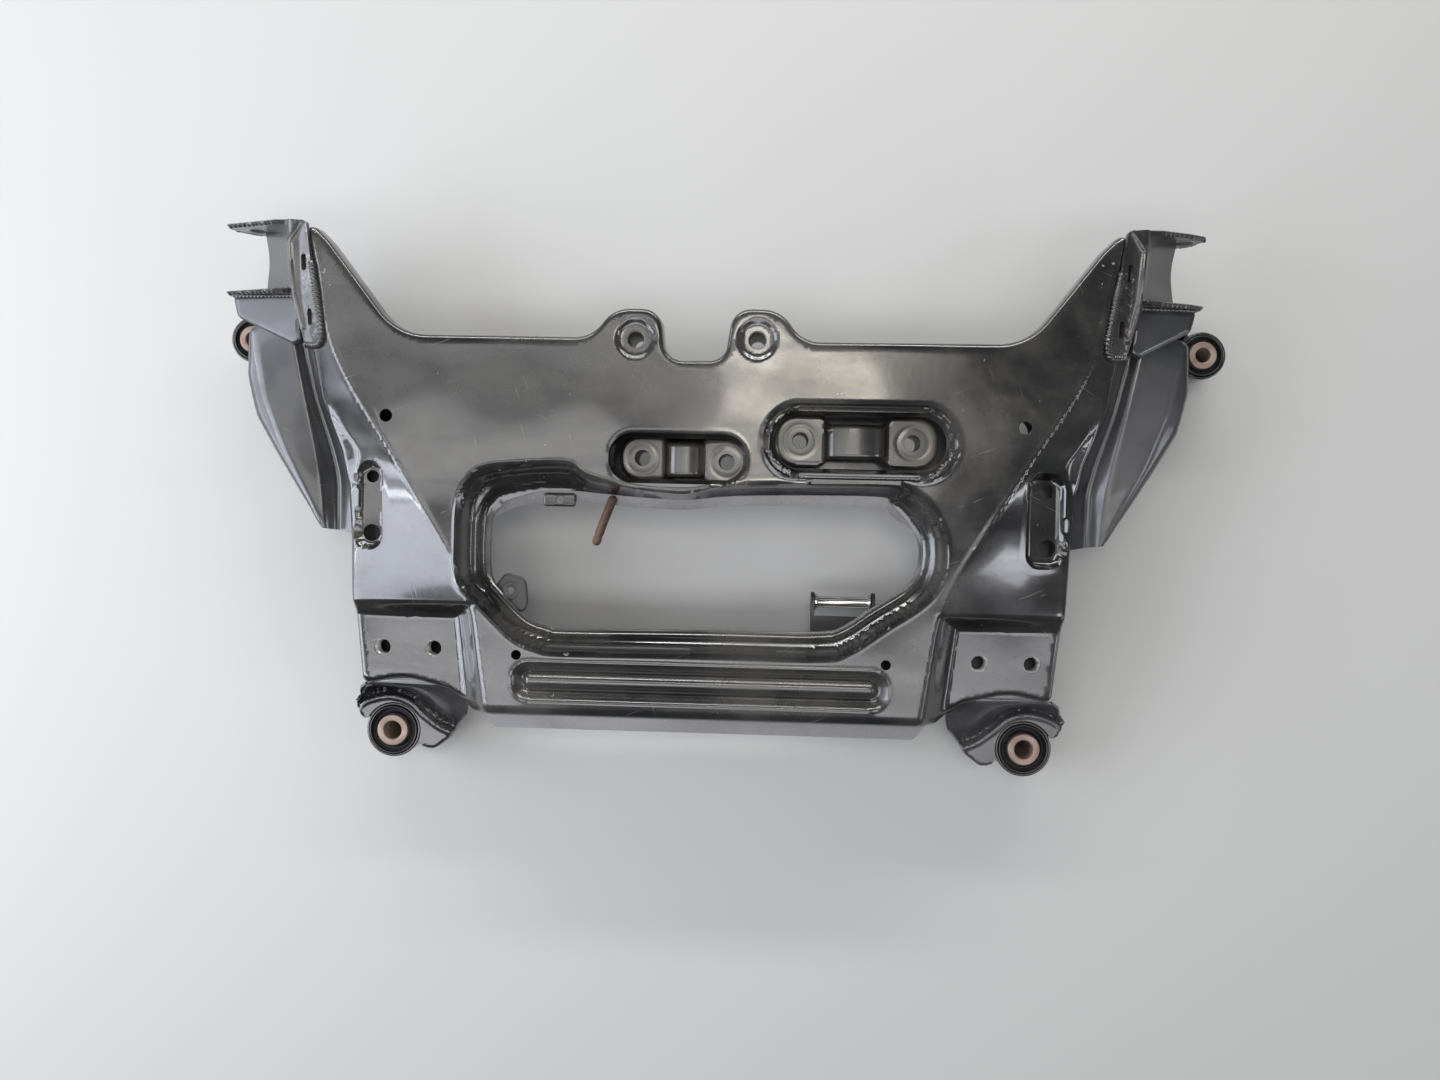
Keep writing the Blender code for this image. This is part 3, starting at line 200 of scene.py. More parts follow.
# %% Sheet builder
def kept_cells(outline, holes, pitch):
    """Grid points, and the cells inside the outline and outside the holes.

    Two cells that touch only at a corner are dropped, because they would pinch the sheet.
    """
    low = outline.min(0) - pitch
    count = np.ceil((outline.max(0) + pitch - low) / pitch).astype(int) + 1
    ix, iy = np.meshgrid(np.arange(count[0]), np.arange(count[1]), indexing="ij")
    grid = (low + pitch * np.stack([ix, iy], -1)).reshape(-1, 2)
    middle = (low + pitch * (np.stack([ix, iy], -1)[:-1, :-1] + 0.5)).reshape(-1, 2)
    keep = depth(middle, outline) > 0.2 * pitch
    for hole in holes:
        keep &= depth(middle, hole) < -0.2 * pitch
    keep = np.pad(keep.reshape(count[0] - 1, count[1] - 1), 1)
    for _ in range(3):
        a, b, c, d = keep[:-1, :-1], keep[1:, :-1], keep[1:, 1:], keep[:-1, 1:]
        pinched = (a & c & ~b & ~d) | (b & d & ~a & ~c)
        keep[1:, 1:] &= ~pinched
        keep[:-1, 1:] &= ~pinched
    keep = keep[1:-1, 1:-1]
    rank = ix * count[1] + iy
    cells = np.stack([rank[:-1, :-1], rank[1:, :-1], rank[1:, 1:], rank[:-1, 1:]], -1)[keep]
    used, cells = np.unique(cells, return_inverse=True)
    return grid[used], cells.reshape(-1, 4)


def cell_sides(cells):
    """The four sides of every cell, as pairs of points."""
    return np.vstack([cells[:, [0, 1]], cells[:, [1, 2]], cells[:, [2, 3]], cells[:, [3, 0]]])


def even_rows(plan, gap, rim, pairs, outline, rings):
    """Move the first rows of points beside the outline to their own distances; returns which moved."""
    layer = np.where(rim & (nearest(plan, outline)[0] < 1e-6), 0, 99)
    for number, away in enumerate(rings, 1):
        on = np.zeros(len(plan), bool)
        on[pairs[(layer[pairs] == number - 1).any(1)]] = True
        on = np.flatnonzero(on & (layer == 99) & ~rim)
        layer[on], gap[on], foot = number, away, nearest(plan[on], outline)[1]
        plan[on] = foot + unit(plan[on] - foot) * away
    return layer < 99


def laid_grid(outline, holes, pitch, reach, folds=(), rings=()):
    """Plan of square cells whose rim lies on the outline and the holes.

    Points between the cells inside and outside a fold move onto it, so that it runs clean. A point
    at distance d from the nearest edge, with d below reach, moves to the distance
    reach (d / reach)^1.5, so the rows crowd towards the edge. The first rows along the outline
    can be given their own distances, which keeps a rolled edge even.
    """
    plan, cells = kept_cells(outline, holes, pitch)
    rim = np.bincount(cells.ravel(), minlength=len(plan)) < 4
    gap, spot = nearest_rim(plan, outline, holes)
    plan[rim] = spot[rim]
    pairs = np.unique(np.sort(cell_sides(cells), axis=1), axis=0)
    held, near = rim.copy(), gap < 3.0 * pitch
    share = np.bincount(cells.ravel(), minlength=len(plan))
    centre = plan[cells].mean(1)
    for fold in folds:
        within = np.bincount(cells[inside(centre, fold)].ravel(), minlength=len(plan))
        on = np.flatnonzero((within > 0) & (within < share) & ~held)
        plan[on] = nearest(plan[on], fold)[1]
        held[on] = True
        near[pairs[np.isin(pairs, on).any(1)]] = True
    near &= ~held
    for _ in range(4):
        plan = np.where(near[:, None], around(plan, pairs), plan)
    inner = np.flatnonzero(~held & (gap < reach + 2.0 * pitch))
    gap[inner], spot[inner] = nearest_rim(plan[inner], outline, holes)
    gap[rim] = 0.0
    pull = ~held & (gap < reach)
    drawn = reach * (gap[pull] / reach) ** 1.5
    plan[pull] = spot[pull] + unit(plan[pull] - spot[pull]) * drawn[:, None]
    gap[pull] = drawn
    if rings:
        moved = even_rows(plan, gap, rim, pairs, outline, rings)
        free = ~held & ~moved & (gap < rings[-1] + 2.5 * pitch) & (gap > reach * 0.6)
        for _ in range(3):
            plan = np.where(free[:, None], around(plan, pairs), plan)
    return plan, cells, gap, pairs


def nearest_rim(points, outline, holes):
    """Distance and nearest point over the outline and all the holes."""
    gap, spot = nearest(points, outline)
    for hole in holes:
        other, foot = nearest(points, hole)
        closer = other < gap
        gap[closer], spot[closer] = other[closer], foot[closer]
    return gap, spot


def around(values, pairs):
    """Mean of each point's neighbours, summed over the mesh's edges."""
    total = np.zeros_like(values)
    np.add.at(total, pairs[:, 0], values[pairs[:, 1]])
    np.add.at(total, pairs[:, 1], values[pairs[:, 0]])
    return total / np.bincount(pairs.ravel(), minlength=len(values))[:, None]


def normals(points, cells):
    """Cross product of each cell's diagonals, summed at its points and made one long."""
    a, b, c, d = (points[cells[:, k]] for k in range(4))
    faces = np.cross(c - a, d - b)
    total = np.zeros_like(points)
    for k in range(4):
        np.add.at(total, cells[:, k], faces)
    return unit(total)


def solid(points, faces):
    """Turn all faces if the sum of (a x b) . c over their triangles, six volumes, is negative."""
    a, b, c = (points[faces[:, k]] for k in (0, 1, 2))
    volume = (np.cross(a, b) * c).sum()
    if faces.shape[1] == 4:
        volume += (np.cross(a, c) * points[faces[:, 3]]).sum()
    return faces if volume > 0.0 else faces[:, ::-1]


def put(name, points, faces, values=None, crease=50.0):
    """Mesh object at the origin, from millimetre points and faces that close it."""
    mesh = bpy.data.meshes.new(name)
    mesh.from_pydata(((points + SHIFT) * MM).tolist(), [], solid(points, faces).tolist())
    mesh.polygons.foreach_set("use_smooth", np.ones(len(mesh.polygons), bool))
    mesh.set_sharp_from_angle(angle=math.radians(crease))
    for key, value in (values or {}).items():
        mesh.attributes.new(key, "FLOAT", "POINT").data.foreach_set("value", value.astype(np.float32))
    piece = bpy.data.objects.new(name, mesh)
    bpy.context.scene.collection.objects.link(piece)
    return piece


def sheet(name, outline, holes, height, wall, pitch=2.2, reach=7.0, place=None, folds=(), stain=None,
          rings=()):
    """Closed sheet: an upper skin at height(plan), and a lower skin one wall along the normals.

    A cell is split along the diagonal whose middle lies nearer to the height at its centre.
    """
    plan, cells, gap, pairs = laid_grid(outline, holes, pitch, reach, folds, rings)
    top = np.column_stack([plan, height(plan)])
    up = normals(top, cells)
    bottom = top - up * wall
    count = len(top)
    sides = cell_sides(cells)
    code, mirror = sides[:, 0] * count + sides[:, 1], sides[:, 1] * count + sides[:, 0]
    a, b = sides[~np.isin(code, mirror)].T
    band = np.vstack([np.column_stack([a, a + count, b + count]), np.column_stack([a, b + count, b])])
    middle = height(plan[cells].mean(1))
    z = top[cells, 2]
    swap = np.abs(z[:, 0] + z[:, 2] - 2.0 * middle) > np.abs(z[:, 1] + z[:, 3] - 2.0 * middle) + 0.02
    turned = np.where(swap[:, None], np.roll(cells, -1, axis=1), cells)
    halves = np.vstack([turned[:, [0, 1, 2]], turned[:, [0, 2, 3]]])
    points = np.vstack([top, bottom])
    faces = np.vstack([halves, halves[:, ::-1] + count, band])
    if place is not None:
        points = place(points)
    edge = np.exp(-gap / 2.5)
    lean = ((top - around(top, pairs)) * up).sum(1)
    ridge = np.clip(lean / 0.12, 0.0, 1.0)
    ridge = np.maximum(ridge, np.clip(around(ridge[:, None], pairs)[:, 0], 0.0, 1.0))
    values = {"edge": np.tile(edge, 2), "ridge": np.concatenate([ridge, np.zeros(count)])}
    if stain is not None:
        values["stain"] = np.tile(stain(plan), 2)
    piece = put(name, points, faces, values)
    print(f"{name}: {len(faces)} triangles")
    return piece


# %% [markdown]
# ## Turned pieces, tubes and weld beads
#
# Sleeves, collars and housings are turned on a lathe, so a rounded profile of radius and height is
# carried round a circle. A weld bead is a tube along a path. Its radius swells in a short rhythm,
# and the swelling lags at its sides, which gives the fish scales that a welding torch leaves.

# %% Lathe and bead builders
def lathe(name, profile, centre, facets=72, axis="z"):
    """Closed ring: the point (radius, height) goes to radius times (cosine, sine), and height."""
    angle = np.linspace(0.0, 2.0 * np.pi, facets, endpoint=False)[:, None]
    radius, height = profile[:, 0][None], profile[:, 1][None]
    x, y = radius * np.cos(angle), radius * np.sin(angle)
    z = height + 0.0 * angle
    shape = (x + centre[0], y + centre[1], z) if axis == "z" else (z, x + centre[0], y + centre[1])
    return put(name, np.stack(shape, -1).reshape(-1, 3), lattice(facets, len(profile), True))


def lattice(rows, columns, around_rows):
    """Four-sided faces of a grid that closes on itself across, and lengthways if it is told to."""
    i = np.arange(rows if around_rows else rows - 1)[:, None]
    j = np.arange(columns)[None]
    after, beside = (i + 1) % rows * columns, (j + 1) % columns
    return np.stack([i * columns + j, after + j, after + beside, i * columns + beside],
                    -1).reshape(-1, 4)


def tube(name, path, radius, facets=14, ends=3):
    """Round bar along a path, with domed ends.

    Each ring lies across the path: the path's direction, a sideways vector level with the ground,
    and their cross product make its axes.
    """
    path = np.asarray(path, float)
    radius = np.broadcast_to(np.asarray(radius, float), (len(path), facets)).copy()
    along = unit(np.gradient(path, axis=0))
    side = unit(np.cross(along, [0.0, 0.0, 1.0]))
    over = np.cross(side, along)
    dome = np.linspace(0.0, 0.5 * np.pi, ends + 1)[1:][:, None]
    first = path[0] - along[0] * radius[0].mean() * np.sin(dome[::-1])
    last = path[-1] + along[-1] * radius[-1].mean() * np.sin(dome)
    shrink = np.maximum(np.cos(dome), 0.02)
    rings = np.vstack([first, path, last])
    size = np.vstack([radius[0] * shrink[::-1], radius, radius[-1] * shrink])
    side = np.vstack([np.repeat(side[:1], ends, 0), side, np.repeat(side[-1:], ends, 0)])
    over = np.vstack([np.repeat(over[:1], ends, 0), over, np.repeat(over[-1:], ends, 0)])
    angle = np.linspace(0.0, 2.0 * np.pi, facets, endpoint=False)
    points = rings[:, None] + size[..., None] * (np.cos(angle)[None, :, None] * side[:, None]
                                                 + np.sin(angle)[None, :, None] * over[:, None])
    count = len(rings)
    points = np.vstack([points.reshape(-1, 3), rings[:1], rings[-1:]])
    quads = lattice(count, facets, False)
    k = np.arange(facets)
    tail = (count - 1) * facets
    caps = np.vstack([np.column_stack([np.full(facets, count * facets), k, (k + 1) % facets, k * 0 - 1]),
                      np.column_stack([np.full(facets, count * facets + 1), tail + (k + 1) % facets,
                                       tail + k, k * 0 - 1])])
    return points, quads, caps[:, :3]


def put_tube(name, path, radius, facets=14):
    """Mesh object of a bar: its quads are split so that its pointed caps can join them."""
    points, quads, caps = tube(name, path, radius, facets)
    faces = np.vstack([quads[:, [0, 1, 2]], quads[:, [0, 2, 3]], caps[:, ::-1]])
    return put(name, points, faces)


def resampled(points, gap):
    """Points at equal distances along a line, by interpolation over its running length."""
    line = np.asarray(points, float)
    run = np.concatenate([[0.0], np.cumsum(np.linalg.norm(np.diff(line, axis=0), axis=1))])
    ladder = np.linspace(0.0, run[-1], max(3, int(run[-1] / gap)))
    return np.column_stack([np.interp(ladder, run, line[:, k]) for k in range(3)]), ladder


def bead(name, points, size=2.4, seed=0):
    """Weld bead: radius = size (1 + 0.17 sin(2 pi (s / 3.4 + 0.3 cos angle)) + slow wander)."""
    path, s = resampled(points, 0.6)
    angle = np.linspace(0.0, 2.0 * np.pi, 14, endpoint=False)[None]
    s = s[:, None]
    wander = 0.10 * np.sin(s / 7.3 + seed) + 0.07 * np.sin(s / 3.1 + 2.0 * seed)
    radius = size * (1.0 + 0.17 * np.sin(2.0 * np.pi * (s / 3.4 + 0.3 * np.cos(angle))) + wander)
    return put_tube(name, path, radius)


def dress(piece, finish, *nodes, slot_name="black_paint"):
    """Give a piece its material and its body, and hide the CAD nodes that it stands for; slot_name is not
    used.
    """
    piece.data.materials.append(finish)
    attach(piece, "root")
    if nodes:
        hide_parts(*nodes)
    return piece


print("builders ready: sheet, lathe, bar and bead")

# %% [markdown]
# ## Finishes
#
# A used subframe is gloss black paint under a thin film of road haze. The haze lies in soft patches,
# scratches cut through it, edges and ridges are rubbed, and a little rust blooms at the ends. Each
# of these is one shader node group with named inputs, and each paint places the same groups with its
# own values. All patterns read Object coordinates, which stay put when the object moves.

# %% Node helpers
def new_group(name, amounts, *masks, colours=()):
    """Shader group that takes a vector and some numbers, and gives masks and colours."""
    tree = bpy.data.node_groups.new(name, "ShaderNodeTree")
    new_socket = tree.interface.new_socket
    new_socket("Vector", in_out="INPUT", socket_type="NodeSocketVector")
    for label, value in amounts.items():
        new_socket(label, in_out="INPUT", socket_type="NodeSocketFloat").default_value = value
    for label in masks:
        new_socket(label, in_out="OUTPUT", socket_type="NodeSocketFloat")
    for label in colours:
        new_socket(label, in_out="OUTPUT", socket_type="NodeSocketColor")
    start, end = tree.nodes.new("NodeGroupInput"), tree.nodes.new("NodeGroupOutput")
    start.location, end.location = (-900, 0), (900, 0)
    return tree, start.outputs, end.inputs


def add(tree, kind, inputs=None, **settings):
    """New node with its settings. An input is a value or another node's output."""
    made = tree.nodes.new(kind)
    for key, value in settings.items():
        setattr(made, key, value)
    for key, value in (inputs or {}).items():
        if isinstance(value, bpy.types.NodeSocket):
            tree.links.new(value, made.inputs[key])
        else:
            made.inputs[key].default_value = value
    return made


def maths(tree, operation, a, b=0.0, clamp=False):
    """One Math node."""
    return add(tree, "ShaderNodeMath", {0: a, 1: b}, operation=operation, use_clamp=clamp).outputs[0]


def times(tree, a, b, clamp=False):
    """a b."""
    return maths(tree, "MULTIPLY", a, b, clamp)


def plus(tree, a, b, clamp=False):
    """a + b."""
    return maths(tree, "ADD", a, b, clamp)


def minus(tree, a, b, clamp=False):
    """a - b."""
    return maths(tree, "SUBTRACT", a, b, clamp)


def spread(tree, value, low, high):
    """Map Range that lifts low..high to 0..1 with soft ends."""
    return add(tree, "ShaderNodeMapRange", {"Value": value, "From Min": low, "From Max": high},
               interpolation_type="SMOOTHSTEP").outputs[0]


def noise(tree, vector, scale, detail=5.0, rough=0.55, warp=0.0):
    """Fractal noise."""
    return add(tree, "ShaderNodeTexNoise", {"Vector": vector, "Scale": scale, "Detail": detail,
                                            "Roughness": rough, "Distortion": warp}).outputs["Fac"]


def blend(tree, share, a, b):
    """Colour between a and b."""
    a, b = (value if isinstance(value, bpy.types.NodeSocket) else (*value, 1.0) for value in (a, b))
    return add(tree, "ShaderNodeMix", {"Factor": share, 6: a, 7: b}, data_type="RGBA").outputs[2]


# %% Haze, scratches, rubbed edges, rust and grain
def haze_group():
    """Soft patches: broad noise times finer noise, above a threshold that Amount lowers."""
    tree, given, out = new_group("road_haze", {"Amount": 0.5, "Scale": 9.0}, "Mask", "Speck")
    broad = noise(tree, given["Vector"], given["Scale"], 4.0, 0.5, 0.5)
    finer = noise(tree, given["Vector"], times(tree, given["Scale"], 7.0), 5.0, 0.65)
    both = plus(tree, times(tree, broad, 0.82), times(tree, finer, 0.18))
    floor_level = minus(tree, 0.72, times(tree, given["Amount"], 0.4))
    rise = minus(tree, both, floor_level)
    tree.links.new(spread(tree, rise, -0.14, 0.20), out["Mask"])
    dots = noise(tree, given["Vector"], 420.0, 3.0, 0.6)
    tree.links.new(spread(tree, dots, 0.62, 0.72), out["Speck"])
    return tree


def scratch_group():
    """Thin streaks: noise on coordinates turned about z, then stretched thirty times one way."""
    tree, given, out = new_group("fine_scratches", {"Amount": 0.5}, "Mask")
    total = None
    for turn, seed in ((0.35, 0.0), (1.9, 3.1), (2.7, 7.7)):
        placing = {"Vector": given["Vector"], "Location": (seed, seed, 0.0),
                   "Rotation": (0.0, 0.0, turn), "Scale": (0.05, 0.0016, 0.02)}
        turned = add(tree, "ShaderNodeMapping", placing, vector_type="TEXTURE").outputs[0]
        streak = spread(tree, noise(tree, turned, 1.0, 2.0, 0.5, 0.3), 0.70, 0.76)
        where = spread(tree, noise(tree, turned, 0.15, 2.0, 0.5), 0.5, 0.62)
        line = times(tree, streak, where)
        total = line if total is None else maths(tree, "MAXIMUM", total, line)
    tree.links.new(times(tree, total, given["Amount"], True), out["Mask"])
    return tree


def rub_group():
    """Rubbed paint: nearness to an edge or ridge, broken up by noise, above a threshold."""
    tree, given, out = new_group("rubbed_edges", {"Edge": 0.0, "Ridge": 0.0, "Amount": 0.5}, "Mask", "Bare")
    near = maths(tree, "MAXIMUM", times(tree, given["Edge"], 0.85), given["Ridge"])
    broken = noise(tree, given["Vector"], 130.0, 6.0, 0.7)
    wide = noise(tree, given["Vector"], 17.0, 3.0, 0.5)
    force = times(tree, near, plus(tree, broken, times(tree, wide, 0.7)))
    force = times(tree, force, given["Amount"])
    tree.links.new(spread(tree, force, 0.34, 0.70), out["Mask"])
    tree.links.new(spread(tree, force, 0.60, 0.70), out["Bare"])
    return tree


def rust_group():
    """Rust: two noises give patches, and a third mixes dark and orange rust."""
    tree, given, out = new_group("rust_bloom", {"Amount": 0.3}, "Mask", colours=["Colour"])
    patch = noise(tree, given["Vector"], 38.0, 7.0, 0.7, 0.6)
    level = minus(tree, 0.86, times(tree, given["Amount"], 0.5))
    tree.links.new(spread(tree, minus(tree, patch, level), -0.03, 0.08), out["Mask"])
    tint = spread(tree, noise(tree, given["Vector"], 240.0, 5.0, 0.7), 0.35, 0.65)
    tree.links.new(blend(tree, tint, (0.050, 0.026, 0.018), (0.21, 0.115, 0.075)), out["Colour"])
    return tree


def grain_group():
    """Height of a painted or rough surface: slow orange peel plus fine pits."""
    tree, given, out = new_group("surface_grain", {"Peel": 0.5, "Pits": 0.2}, "Height")
    peel = times(tree, noise(tree, given["Vector"], 160.0, 3.0, 0.5), given["Peel"])
    pits = times(tree, noise(tree, given["Vector"], 900.0, 4.0, 0.7), given["Pits"])
    tree.links.new(plus(tree, peel, pits), out["Height"])
    return tree


haze, scratches, rub, rust, grain = (haze_group(), scratch_group(), rub_group(), rust_group(),
                                     grain_group())
print("node groups:", [group.name for group in (haze, scratches, rub, rust, grain)])

# %% [markdown]
# ## Paint, steel, rust and rubber
#
# A paint is a dark base with haze on top, then scratches, rubbed edges and rust, in the order in
# which they happened. Haze is lighter and duller than clean paint, so the same mask that lightens
# the colour also raises the roughness. That is what makes the light break up over the top plane.

# %% Material builders
def placed(tree, group, where, **amounts):
    """Outputs of a group node with its own values."""
    return add(tree, "ShaderNodeGroup", {"Vector": where, **amounts}, node_tree=group).outputs


def new_finish(name):
    """Material, its tree, its Principled node and its Object coordinates."""
    made = bpy.data.materials.new(name)
    made.use_nodes = True
    tree = made.node_tree
    return made, tree, tree.nodes["Principled BSDF"], add(tree, "ShaderNodeTexCoord").outputs["Object"]


def emboss(tree, shader, height, strength, distance):
    """Bump of a height, with its distance in metres."""
    bump = add(tree, "ShaderNodeBump", {"Height": height, "Strength": strength, "Distance": distance})
    tree.links.new(bump.outputs[0], shader.inputs["Normal"])


def attribute(tree, name):
    """Number that the sheet builder kept for each point."""
    return add(tree, "ShaderNodeAttribute", attribute_name=name).outputs["Fac"]


STAIN_SHARES = (0.18, 0.14, 1.4)
SCRATCHED, RUBBED = (0.17, 0.165, 0.155), (0.11, 0.11, 0.11)
BARE, CHIPPED = (0.24, 0.23, 0.215), (0.36, 0.35, 0.33)


def painted(name, base, film, amounts, shine, coat):
    """Worn paint. amounts = haze, scratches, rubbing, rust, peel; film is the haze's colour."""
    dusty, cut, rubbed, rusted, peel = amounts
    made, tree, shader, where = new_finish(name)
    edge, ridge, stain = (attribute(tree, key) for key in ("edge", "ridge", "stain"))
    more = [plus(tree, times(tree, stain, share), start)
            for share, start in zip(STAIN_SHARES, (dusty, rusted, cut))]
    film_mask = placed(tree, haze, where, Amount=more[0])
    lines = placed(tree, scratches, where, Amount=cut)["Mask"]
    wear = placed(tree, rub, where, Edge=edge, Ridge=ridge, Amount=rubbed)
    bloom = placed(tree, rust, where, Amount=more[1])
    relief = placed(tree, grain, where, Peel=peel, Pits=0.25)["Height"]
    level = minus(tree, 0.80, times(tree, more[2], 0.04))
    chips = spread(tree, minus(tree, noise(tree, where, 170.0, 2.0, 0.5), level), 0.0, 0.035)
    specks = times(tree, film_mask["Speck"], times(tree, film_mask["Mask"], 0.5))
    rusty = times(tree, bloom["Mask"], plus(tree, 0.32, edge), True)
    colour = base
    for share, above in ((film_mask["Mask"], film), (specks, tuple(min(1.0, 1.7 * part) for part in film)),
                         (times(tree, lines, 0.7), SCRATCHED), (times(tree, wear["Mask"], 0.6), RUBBED),
                         (wear["Bare"], BARE), (times(tree, chips, cut, True), CHIPPED),
                         (rusty, bloom["Colour"])):
        colour = blend(tree, share, colour, above)
    tree.links.new(colour, shader.inputs["Base Color"])
    drawn_out = add(tree, "ShaderNodeMapping", {"Vector": where, "Scale": (3.0, 15.0, 8.0)}).outputs[0]
    smudge = spread(tree, noise(tree, drawn_out, 1.0, 4.0, 0.55, 0.8), 0.42, 0.62)
    rough = shine
    for mask, gain in ((film_mask["Mask"], 0.15), (smudge, 0.06), (wear["Mask"], 0.12), (rusty, 0.35)):
        rough = plus(tree, rough, times(tree, mask, gain), True)
    tree.links.new(rough, shader.inputs["Roughness"])
    dull = plus(tree, times(tree, film_mask["Mask"], 0.35), rusty, True)
    dull = plus(tree, dull, times(tree, smudge, 0.35), True)
    gloss = times(tree, minus(tree, 1.0, dull, True), coat)
    tree.links.new(gloss, shader.inputs["Coat Weight"])
    shader.inputs["Coat Roughness"].default_value = 0.08
    shader.inputs["Specular IOR Level"].default_value = 0.9
    height = minus(tree, relief, times(tree, lines, 0.6))
    height = minus(tree, height, times(tree, chips, 0.8))
    emboss(tree, shader, height, 0.35, 0.00025)
    return made


def metal(name, dark, light, rusted, rough=(0.25, 0.5), metallic=0.9, pits=0.5):
    """Bare metal: dark and light patches, with rust over them that is rough and not metallic."""
    made, tree, shader, where = new_finish(name)
    patch = placed(tree, haze, where, Amount=0.55, Scale=40.0)["Mask"]
    lines = placed(tree, scratches, where, Amount=0.6)["Mask"]
    bloom = placed(tree, rust, where, Amount=rusted)
    relief = placed(tree, grain, where, Peel=0.3, Pits=pits)["Height"]
    colour = blend(tree, patch, dark, light)
    colour = blend(tree, times(tree, lines, 0.5), colour, (0.6, 0.58, 0.55))
    colour = blend(tree, bloom["Mask"], colour, bloom["Colour"])
    tree.links.new(colour, shader.inputs["Base Color"])
    level = add(tree, "ShaderNodeMapRange", {"Value": patch, "To Min": rough[0], "To Max": rough[1]})
    dull = plus(tree, level.outputs[0], times(tree, bloom["Mask"], 0.4), True)
    tree.links.new(dull, shader.inputs["Roughness"])
    shine = times(tree, minus(tree, 1.0, bloom["Mask"], True), metallic)
    tree.links.new(shine, shader.inputs["Metallic"])
    emboss(tree, shader, relief, 0.5, 0.0004)
    return made


def old_rubber(name):
    """Matt black rubber with grey dust in patches and a fine grain."""
    made, tree, shader, where = new_finish(name)
    film = placed(tree, haze, where, Amount=0.35, Scale=60.0)["Mask"]
    relief = placed(tree, grain, where, Peel=0.6, Pits=0.8)["Height"]
    tree.links.new(blend(tree, film, (0.010, 0.010, 0.011), (0.045, 0.042, 0.038)),
                   shader.inputs["Base Color"])
    level = add(tree, "ShaderNodeMapRange", {"Value": film, "To Min": 0.55, "To Max": 0.85})
    tree.links.new(level.outputs[0], shader.inputs["Roughness"])
    emboss(tree, shader, relief, 0.5, 0.0003)
    return made


shell_paint = painted("shell_gloss_paint", (0.006, 0.0062, 0.0062), (0.058, 0.055, 0.049),
                      (0.46, 0.9, 0.36, 0.26, 0.6), shine=0.16, coat=1.0)
arm_paint = painted("arm_satin_paint", (0.012, 0.0125, 0.014), (0.054, 0.054, 0.059),
                    (0.46, 0.35, 0.40, 0.12, 0.4), shine=0.26, coat=0.7)
inner_paint = painted("inner_dull_paint", (0.008, 0.008, 0.008), (0.036, 0.033, 0.027),
                      (0.50, 0.3, 0.4, 0.26, 0.6), shine=0.36, coat=0.10)
bracket_paint = painted("bracket_paint", (0.010, 0.010, 0.0105), (0.050, 0.047, 0.044),
                        (0.50, 0.6, 0.50, 0.38, 0.6), shine=0.24, coat=0.7)
lobe_paint = painted("lobe_paint", (0.008, 0.008, 0.009), (0.078, 0.076, 0.083),
                     (0.54, 0.7, 0.50, 0.30, 0.6), shine=0.18, coat=1.0)
# Painted sheen: the flange's light bluish film is haze and also stands for the bright bluish reflection on
# the front flange.
flange_haze_and_painted_sheen = painted("flange_haze_and_painted_sheen", (0.018, 0.018, 0.020), (0.190, 0.186, 0.204),
                       (0.66, 0.6, 0.50, 0.30, 0.6), shine=0.22, coat=1.0)
strut_paint = painted("strut_paint", (0.003, 0.003, 0.003), (0.010, 0.010, 0.010),
                      (0.40, 0.2, 0.3, 0.10, 0.5), shine=0.40, coat=0.05)
seat_paint = painted("seat_paint", (0.018, 0.016, 0.012), (0.098, 0.089, 0.067),
                     (0.60, 0.4, 0.45, 0.32, 0.6), shine=0.24, coat=0.8)
weld_paint = painted("painted_weld", (0.014, 0.0135, 0.013), (0.075, 0.070, 0.064),
                     (0.50, 0.2, 0.5, 0.36, 1.0), shine=0.22, coat=0.8)
sleeve_steel = metal("rusty_sleeve_steel", (0.30, 0.21, 0.165), (0.54, 0.43, 0.36), 0.30, (0.35, 0.55), 0.35)
thread_steel = metal("thread_steel", (0.55, 0.54, 0.52), (0.85, 0.84, 0.82), 0.05, (0.22, 0.38), 0.7, 0.15)
bright_steel = metal("bright_steel", (0.52, 0.51, 0.49), (0.78, 0.77, 0.74), 0.08, (0.16, 0.3), 1.0, 0.15)
dull_steel = metal("dull_steel", (0.11, 0.105, 0.10), (0.24, 0.225, 0.205), 0.25, (0.35, 0.55), 0.8)
pin_rust = metal("rusty_pin", (0.085, 0.052, 0.035), (0.19, 0.12, 0.08), 0.62, (0.45, 0.7), 0.4, 1.0)
black_rubber = old_rubber("old_rubber")
print("materials:", len(bpy.data.materials))

# %% [markdown]
# ## The upper pressing
#
# This is the piece that everyone sees: a big sheet with a rolled edge, two ears, two horns, sloping
# flanks, lowered bolting pads, oblong pockets, a stiffening bead and a large central opening. Its
# height is a sum of soft bends. The first cell gives the plan and the body, the next one the
# stamped details. The values are those of the solid, in millimetres.

# %% Plan and body of the pressing
TOP, PAD, OPENING_FLOOR, POCKET_FLOOR, FRONT_EDGE = 120.0, 96.0, 92.0, 91.0, 84.0
# Stations of the flank: y, then x of the fold, x of the edge and z of the edge.
FLANK = np.array([
    (-184.0, 184.0, 304.0, 104.0), (-86.0, 199.0, 312.0, 104.0), (-66.0, 208.0, 314.0, 99.0),
    (-48.0, 217.0, 315.0, 95.0), (-24.0, 232.0, 318.0, 92.0), (2.0, 248.0, 320.0, 92.0),
    (28.0, 264.0, 324.0, 93.0), (55.0, 281.0, 332.0, 95.0), (96.0, 307.0, 345.0, 98.0),
    (122.0, 321.0, 349.0, 102.0), (150.0, 331.0, 352.0, 106.0), (193.0, 335.0, 356.0, 112.0),
    (240.0, 346.0, 357.0, 117.0)])
FLANK_FOOT = ((-30.0, 0.0), (0.0, 0.0), (22.0, 8.0), (45.0, 19.0), (67.0, 9.0), (92.0, 0.0), (110.0, 0.0))
